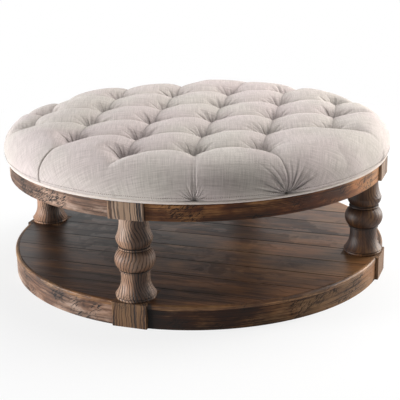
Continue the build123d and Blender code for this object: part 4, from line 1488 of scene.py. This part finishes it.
def wood_finishes() -> dict[str, Any]:
    """The finish of each slot, and of the single nodes whose grain or tone is another."""
    tan, smoke = (164, 134, 104), (186, 166, 152)
    # The legs: painted shade on one side and in their grooves, and a darker ball.
    turned = WeatheredOak(
        "turned_oak", Grain.TURNED, ((28, 16, 10), (84, 55, 37), (151, 121, 99), (174, 153, 138)), rings=0.95,
        streaks=0.15, clouds=0.9, bloom_share=0.5, stain_share=0.25, brushing=0.0022, roughness=0.5,
        warmth=0.55, shaded_grooves=(0.0816, 0.1542, 0.1592, 0.2205, 0.2275), painted_side_shade=0.93, ball_darkening=0.35)
    # Darker legs, with the painted shade on the side turned the other way.
    dark_turned = replace(
        turned, name="dark_turned_oak", tones=((28, 15, 8), (66, 40, 22), (128, 92, 54), (150, 118, 74)),
        rings=0.2, streaks=0.6, clouds=1.4, bloom_share=0.3, stain_share=0.35, brushing=0.0008, warmth=0.7,
        painted_side_shade=0.92, shaded_way=(-0.94, -0.33), side_shade_band=(0.0, 0.8), ball_darkening=0.0)
    block = WeatheredOak(
        "block_oak", Grain.UPRIGHT, ((20, 12, 8), (84, 60, 43), (138, 112, 90), smoke), rings=1.15,
        ring_pitch=0.0046, streaks=0.25, bloom_share=0.35, stain_share=0.8, brushing=0.003)
    base_block = WeatheredOak(
        "base_block_oak", Grain.UPRIGHT, ((30, 18, 11), (78, 52, 32), (116, 86, 58), tan), rings=0.65,
        ring_pitch=0.0034, streaks=0.4, bloom_share=0.15)
    pale_rail = WeatheredOak(
        "pale_rail_oak", Grain.ROUND, ((42, 27, 19), (100, 72, 54), (156, 130, 112), smoke), rings=0.2,
        ring_pitch=0.005, streaks=0.55, clouds=1.5, bloom_share=0.7, marks=1.0, brushing=0.0015, warmth=0.45)
    # Painted light and shade round these rails: paler towards one end of each quarter, darker mid-way.
    dark_rail = WeatheredOak(
        "dark_rail_oak", Grain.ROUND, ((28, 14, 7), (76, 43, 21), (160, 114, 70), (170, 128, 86)), rings=0.25,
        ring_pitch=0.006, streaks=0.4, clouds=1.4, bloom_share=0.2, marks=0.9, roughness=0.55, warmth=0.7,
        gloss=0.2, paling=0.3, painted_shade_dip=0.12)
    # The base rails on those corners: darker tones, partly painted shade, and stronger painted light towards
    # one end of each quarter.
    shaded_dark_base = replace(
        dark_rail, name="dark_base_oak", tones=((20, 11, 7), (48, 28, 17), (132, 100, 70), tan),
        warmth=0.65, paling=0.65, painted_shade_dip=0.0)
    lip = WeatheredOak(
        "lip_oak", Grain.ROUND, ((36, 22, 12), (88, 58, 34), (158, 118, 76), tan), rings=0.3, streaks=0.5,
        clouds=1.4, bloom_share=0.4, stain_share=0.4, roughness=0.5)
    # Painted light and sheen: the shelf grows paler towards +x.
    shelf = WeatheredOak(
        "shelf_oak", Grain.ALONG_X, ((28, 17, 10), (66, 43, 27), (126, 89, 55), (138, 104, 74)), rings=0.15,
        ring_pitch=0.007, streaks=0.8, clouds=1.1, bloom_share=0.15, stain_share=0.35, marks=0.2,
        joint_stain=0.9, brushing=0.0004, roughness=0.4, sheen=0.12, warmth=0.55, gloss=0.3, veins=0.75,
        paling=0.34)
    raw = WeatheredOak(
        "raw_pine", Grain.ALONG_X, ((140, 104, 66), (178, 140, 96), (206, 172, 128), (214, 184, 142)),
        rings=0.4, ring_pitch=0.005, bloom_share=0.2, stain_share=0.08, marks=0.0, brushing=0.0003,
        roughness=0.75)
    finishes: dict[str, Any] = {
        "turned_wood": turned, "block_wood": block, "rail_wood": pale_rail, "shelf_wood": shelf,
        "inner_wood": raw,
        "steel": PlainFinish("zinc_steel", (176, 176, 174), (150, 150, 148), roughness=0.35, metallic=1.0),
        "plywood": PlainFinish("plywood", (196, 164, 120), (168, 134, 94), scale=(14.0, 260.0, 400.0)),
        "twine": PlainFinish("twine", (206, 194, 164), (178, 164, 132), scale=(900.0, 900.0, 300.0)),
    }
    finishes.update({node: lip for node in frame["nodes"] if node.endswith("shelf_lip")})
    finishes.update({node: base_block for node in frame["nodes"] if node.endswith("base_block")})
    for corner in ("front_right", "back_left"):
        finishes |= {f"{corner}_top_rail": dark_rail, f"{corner}_base_rail": shaded_dark_base}
    finishes["right_leg"] = finishes["back_leg"] = dark_turned
    return finishes


def main() -> None:
    """Build the table's looks in order and finish."""
    logging.basicConfig(level=logging.INFO)
    WoodAndSteel(wood_finishes()).dress()
    linen = Linen("greige_linen", (214, 204, 200), (160, 149, 145)).material()
    # The piping is paler than the cover, partly as painted light on the welt under the cushion's overhang.
    piping = Linen("piping_linen", (228, 219, 212), (200, 190, 183), lean=45.0, cool=(1.0, 0.98, 0.965),
                   rose=(1.0, 0.98, 0.965), gathers=False).material()
    thread = PlainFinish("seam_thread", (120, 104, 92), (92, 78, 68)).material()
    black = PlainFinish("dust_cloth", (38, 38, 40), (24, 24, 26), roughness=0.95).material()
    cushion = TuftedCushion()
    cushion.build(linen)
    welt = Welt()
    welt.build(piping)
    welt.stitches(cushion, thread)
    DustCover().build(black)
    Studio().build()


if __name__ == "__main__":
    main()
